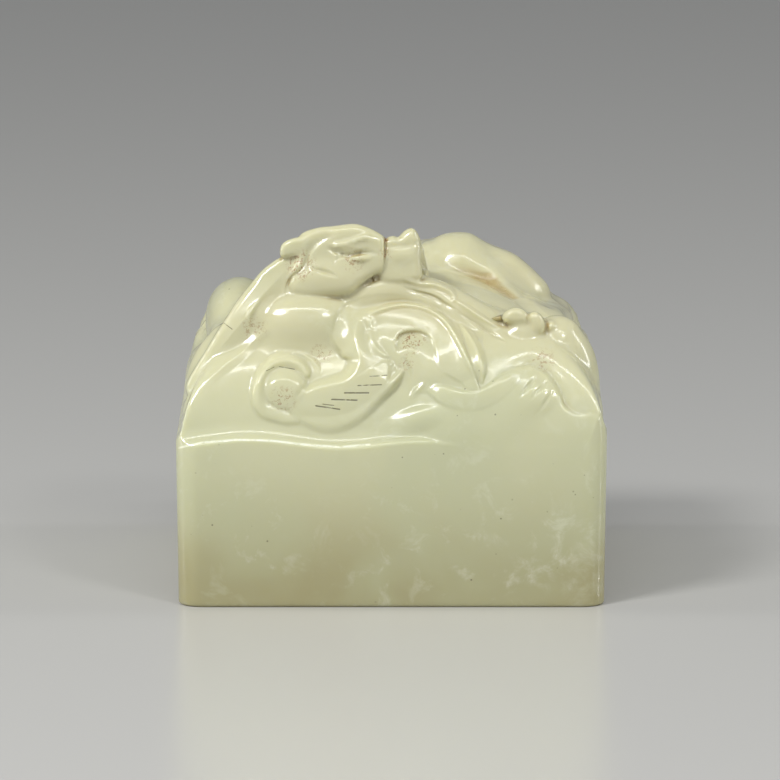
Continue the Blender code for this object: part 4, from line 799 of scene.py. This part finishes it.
# Dark specks in the stone; painted shade darkening the cuts and hollows of the carving, the more the deeper
# they are; and dirt in them.
cells = tree.nodes.new("ShaderNodeTexVoronoi")
put(cells.inputs["Vector"], place)
cells.inputs["Scale"].default_value = 620.0
specks = sums(tree, "MULTIPLY", between(tree, cells.outputs["Distance"], 0.075, 0.04),
              between(tree, drift, 0.52, 0.58))
colour = tinted(tree, sums(tree, "MULTIPLY", specks, 0.55), colour, lit(*SPECK))
# Painted shade: a warm dark colour laid into the hollows by how enclosed each spot is.
colour = tinted(tree, between(tree, hollow, 0.22, 0.76, 0.0, 0.78), colour, lit(*SHADE_IN_THE_CUTS))
patchy = between(tree, noise(tree, place, 2600.0, 4.0, 0.75, 0.8), 0.53, 0.59)
where = between(tree, noise(tree, place, 120.0, 2.0, 0.5), 0.42, 0.60)
dirt = sums(tree, "MULTIPLY", sums(tree, "MULTIPLY", patchy, where), between(tree, hollow, 0.30, 0.62))
for across, height, reach, strength in (
    (-21.0, 79.5, 4.5, 0.75), (4.5, 62.0, 4.5, 0.7), (-25.0, 48.5, 4.0, 0.5), (-16.0, 59.0, 3.5, 0.5),
    (-9.0, 80.6, 3.5, 0.5), (-1.4, 82.0, 2.2, 0.4), (-32.0, 65.0, 4.0, 0.4), (35.0, 57.5, 4.0, 0.4),
    (3.6, 56.5, 2.4, 0.5),
):
    far = vectors(tree, "LENGTH", vectors(tree, "SUBTRACT", mark, (across, height, 0.0)))
    near = sums(tree, "MULTIPLY", between(tree, far, reach, reach * 0.3, 0.0, strength), patchy)
    dirt = sums(tree, "MAXIMUM", dirt, sums(tree, "MULTIPLY", near, between(tree, y, -0.006, -0.010)))
colour = tinted(tree, sums(tree, "MULTIPLY", dirt, 0.95), colour, lit(*DIRT))
# Thin dark strokes in the tail tuft, its curl and the locks, broken along their length; the bump below also
# presses them in as fine grooves.
broken = between(tree, grain, 0.34, 0.50)
dark_strokes = None
for start, end, half in (((-17.5, 46.9), (-12.0, 46.1), 0.24), ((-13.8, 48.4), (-8.0, 48.2), 0.26),
                         ((-10.8, 49.9), (-5.3, 49.9), 0.26), ((-7.7, 51.6), (-2.3, 51.8), 0.20),
                         ((-5.0, 53.7), (-1.0, 54.0), 0.15), ((-16.0, 47.3), (-13.4, 47.0), 0.15),
                         ((-29.0, 55.0), (-27.2, 55.9), 0.12), ((-26.0, 56.0), (-22.5, 55.4), 0.12),
                         ((-42.0, 65.2), (-39.0, 66.2), 0.12), ((-39.0, 66.2), (-37.0, 64.7), 0.12),):
    dark_stroke = between(tree, off_stroke(tree, mark, start, end), half, half * 0.3)
    dark_strokes = dark_stroke if dark_strokes is None else sums(tree, "MAXIMUM", dark_strokes, dark_stroke)
dark_strokes = sums(tree, "MULTIPLY", sums(tree, "MULTIPLY", dark_strokes, between(tree, y, -0.010, -0.013)), broken)
colour = tinted(tree, sums(tree, "MULTIPLY", dark_strokes, 0.7), colour, lit(*HATCH))
# A painted highlight: a pale line, broken along its length, on the top edge of the front face.
painted_highlight = None
arris = ((-49.2, 37.2), (-44.0, 38.4), (-36.0, 39.1), (-28.0, 38.9), (-20.0, 38.0), (-12.0, 37.4),
         (-5.0, 38.0))
for start, end in zip(arris[:-1], arris[1:]):
    highlight_piece = between(tree, off_stroke(tree, mark, start, end), 0.34, 0.10)
    painted_highlight = highlight_piece if painted_highlight is None else sums(tree, "MAXIMUM", painted_highlight, highlight_piece)
painted_highlight = sums(tree, "MULTIPLY", painted_highlight, between(tree, y, -0.0188, -0.0198))
colour = tinted(tree, sums(tree, "MULTIPLY", painted_highlight, between(tree, grain, 0.3, 0.6, 0.3, 0.9)), colour,
                lit(*ARRIS_HIGHLIGHT))
put(stone.inputs["Base Color"], colour)
# The polish is duller in the hollows, and the surface waves slightly.
gloss = sums(tree, "ADD", between(tree, haze, 0.35, 0.70, 0.14, 0.22), sums(tree, "MULTIPLY", dirt, 0.12))
gloss = sums(tree, "ADD", gloss, between(tree, hollow, 0.25, 0.8, 0.0, 0.16))
put(stone.inputs["Roughness"], gloss)
stone.inputs["IOR"].default_value = 1.61
stone.inputs["Subsurface Weight"].default_value = 0.6
stone.inputs["Subsurface Radius"].default_value = (1.0, 0.95, 0.7)
stone.inputs["Subsurface Scale"].default_value = 0.0014
bump = tree.nodes.new("ShaderNodeBump")
bump.inputs["Strength"].default_value = 0.6
bump.inputs["Distance"].default_value = 0.00006
wave = sums(tree, "ADD", noise(tree, place, 420.0, 2.0, 0.5), sums(tree, "MULTIPLY", grain, 0.07))
put(bump.inputs["Height"], sums(tree, "SUBTRACT", wave, sums(tree, "MULTIPLY", dark_strokes, 1.5)))
put(stone.inputs["Normal"], bump.outputs["Normal"])
seal.data.materials.append(jade)
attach(seal, "root")
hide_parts("jade_seal")

# The floor is a sheet of pale, slightly glossy studio acrylic, which mirrors the seal faintly as a display
# table does. It isn't part of the object.
bm = bmesh.new()
bmesh.ops.create_circle(bm, cap_ends=True, segments=96, radius=4.0)
mesh = bpy.data.meshes.new("floor")
bm.to_mesh(mesh)
bm.free()
floor = bpy.data.objects.new("floor", mesh)
bpy.context.scene.collection.objects.link(floor)
acrylic = bpy.data.materials.new("pale_acrylic")
acrylic.use_nodes = True
sheet = acrylic.node_tree.nodes["Principled BSDF"]
sheet.inputs["Base Color"].default_value = lit(196, 195, 191)
sheet.inputs["Roughness"].default_value = 0.26
floor.data.materials.append(acrylic)

# The studio light is a softbox high on the left, a weaker one on the right, a long strip overhead, a wide
# panel in front and a narrow strip on each side, with a pale room round them.
room = bpy.data.worlds.new("room")
room.use_nodes = True
bpy.context.scene.world = room
room.node_tree.nodes["Background"].inputs["Color"].default_value = lit(214, 216, 218)
room.node_tree.nodes["Background"].inputs["Strength"].default_value = 0.34


def softbox(name, place, aim, wide, tall, watts):
    """An area light at a place, in metres, turned to face a point."""
    lamp = bpy.data.lights.new(name, "AREA")
    lamp.shape = "RECTANGLE"
    lamp.size = wide
    lamp.size_y = tall
    lamp.energy = watts
    box = bpy.data.objects.new(name, lamp)
    bpy.context.scene.collection.objects.link(box)
    box.location = place
    away = np.array(place) - np.array(aim)
    tilt = math.atan2(math.hypot(away[0], away[1]), away[2])
    box.rotation_euler = (tilt, 0.0, math.atan2(away[0], -away[1]))
    return box


middle = (0.0, 0.0, 0.02)
softbox("key_softbox", (-0.26, -0.30, 0.38), middle, 0.13, 0.12, 1.4)
softbox("second_softbox", (0.26, -0.38, 0.36), middle, 0.08, 0.09, 0.5)
softbox("overhead_strip", (0.0, -0.30, 0.48), middle, 0.60, 0.04, 0.8)
softbox("front_panel", (-0.10, -0.95, 0.60), middle, 1.6, 1.1, 1.7)
softbox("right_strip", (0.46, 0.02, 0.16), middle, 0.05, 0.34, 0.6)
softbox("left_strip", (-0.46, 0.02, 0.16), middle, 0.05, 0.34, 0.6)

# The camera stands in front, ten degrees above level, far enough off that the faces hardly taper.
SENSOR_WIDTH = 36.0  # in millimetres
PICTURE_PIXELS = 780.0
FOCAL_PIXELS = 7178.0
CAMERA_PLACE = (-0.00014, -0.7068, 0.1425)
lens = bpy.data.cameras.new("camera")
lens.sensor_width = SENSOR_WIDTH
lens.lens = FOCAL_PIXELS / PICTURE_PIXELS * SENSOR_WIDTH
lens.clip_start = 0.05
camera = bpy.data.objects.new("camera", lens)
bpy.context.scene.collection.objects.link(camera)
camera.location = CAMERA_PLACE
camera.rotation_euler = (math.radians(90.0 - VIEW_TILT), 0.0, 0.0)
bpy.context.scene.camera = camera

# The colours above are given as a picture shows them, so the view is left without a film curve.
bpy.context.scene.view_settings.view_transform = "Standard"
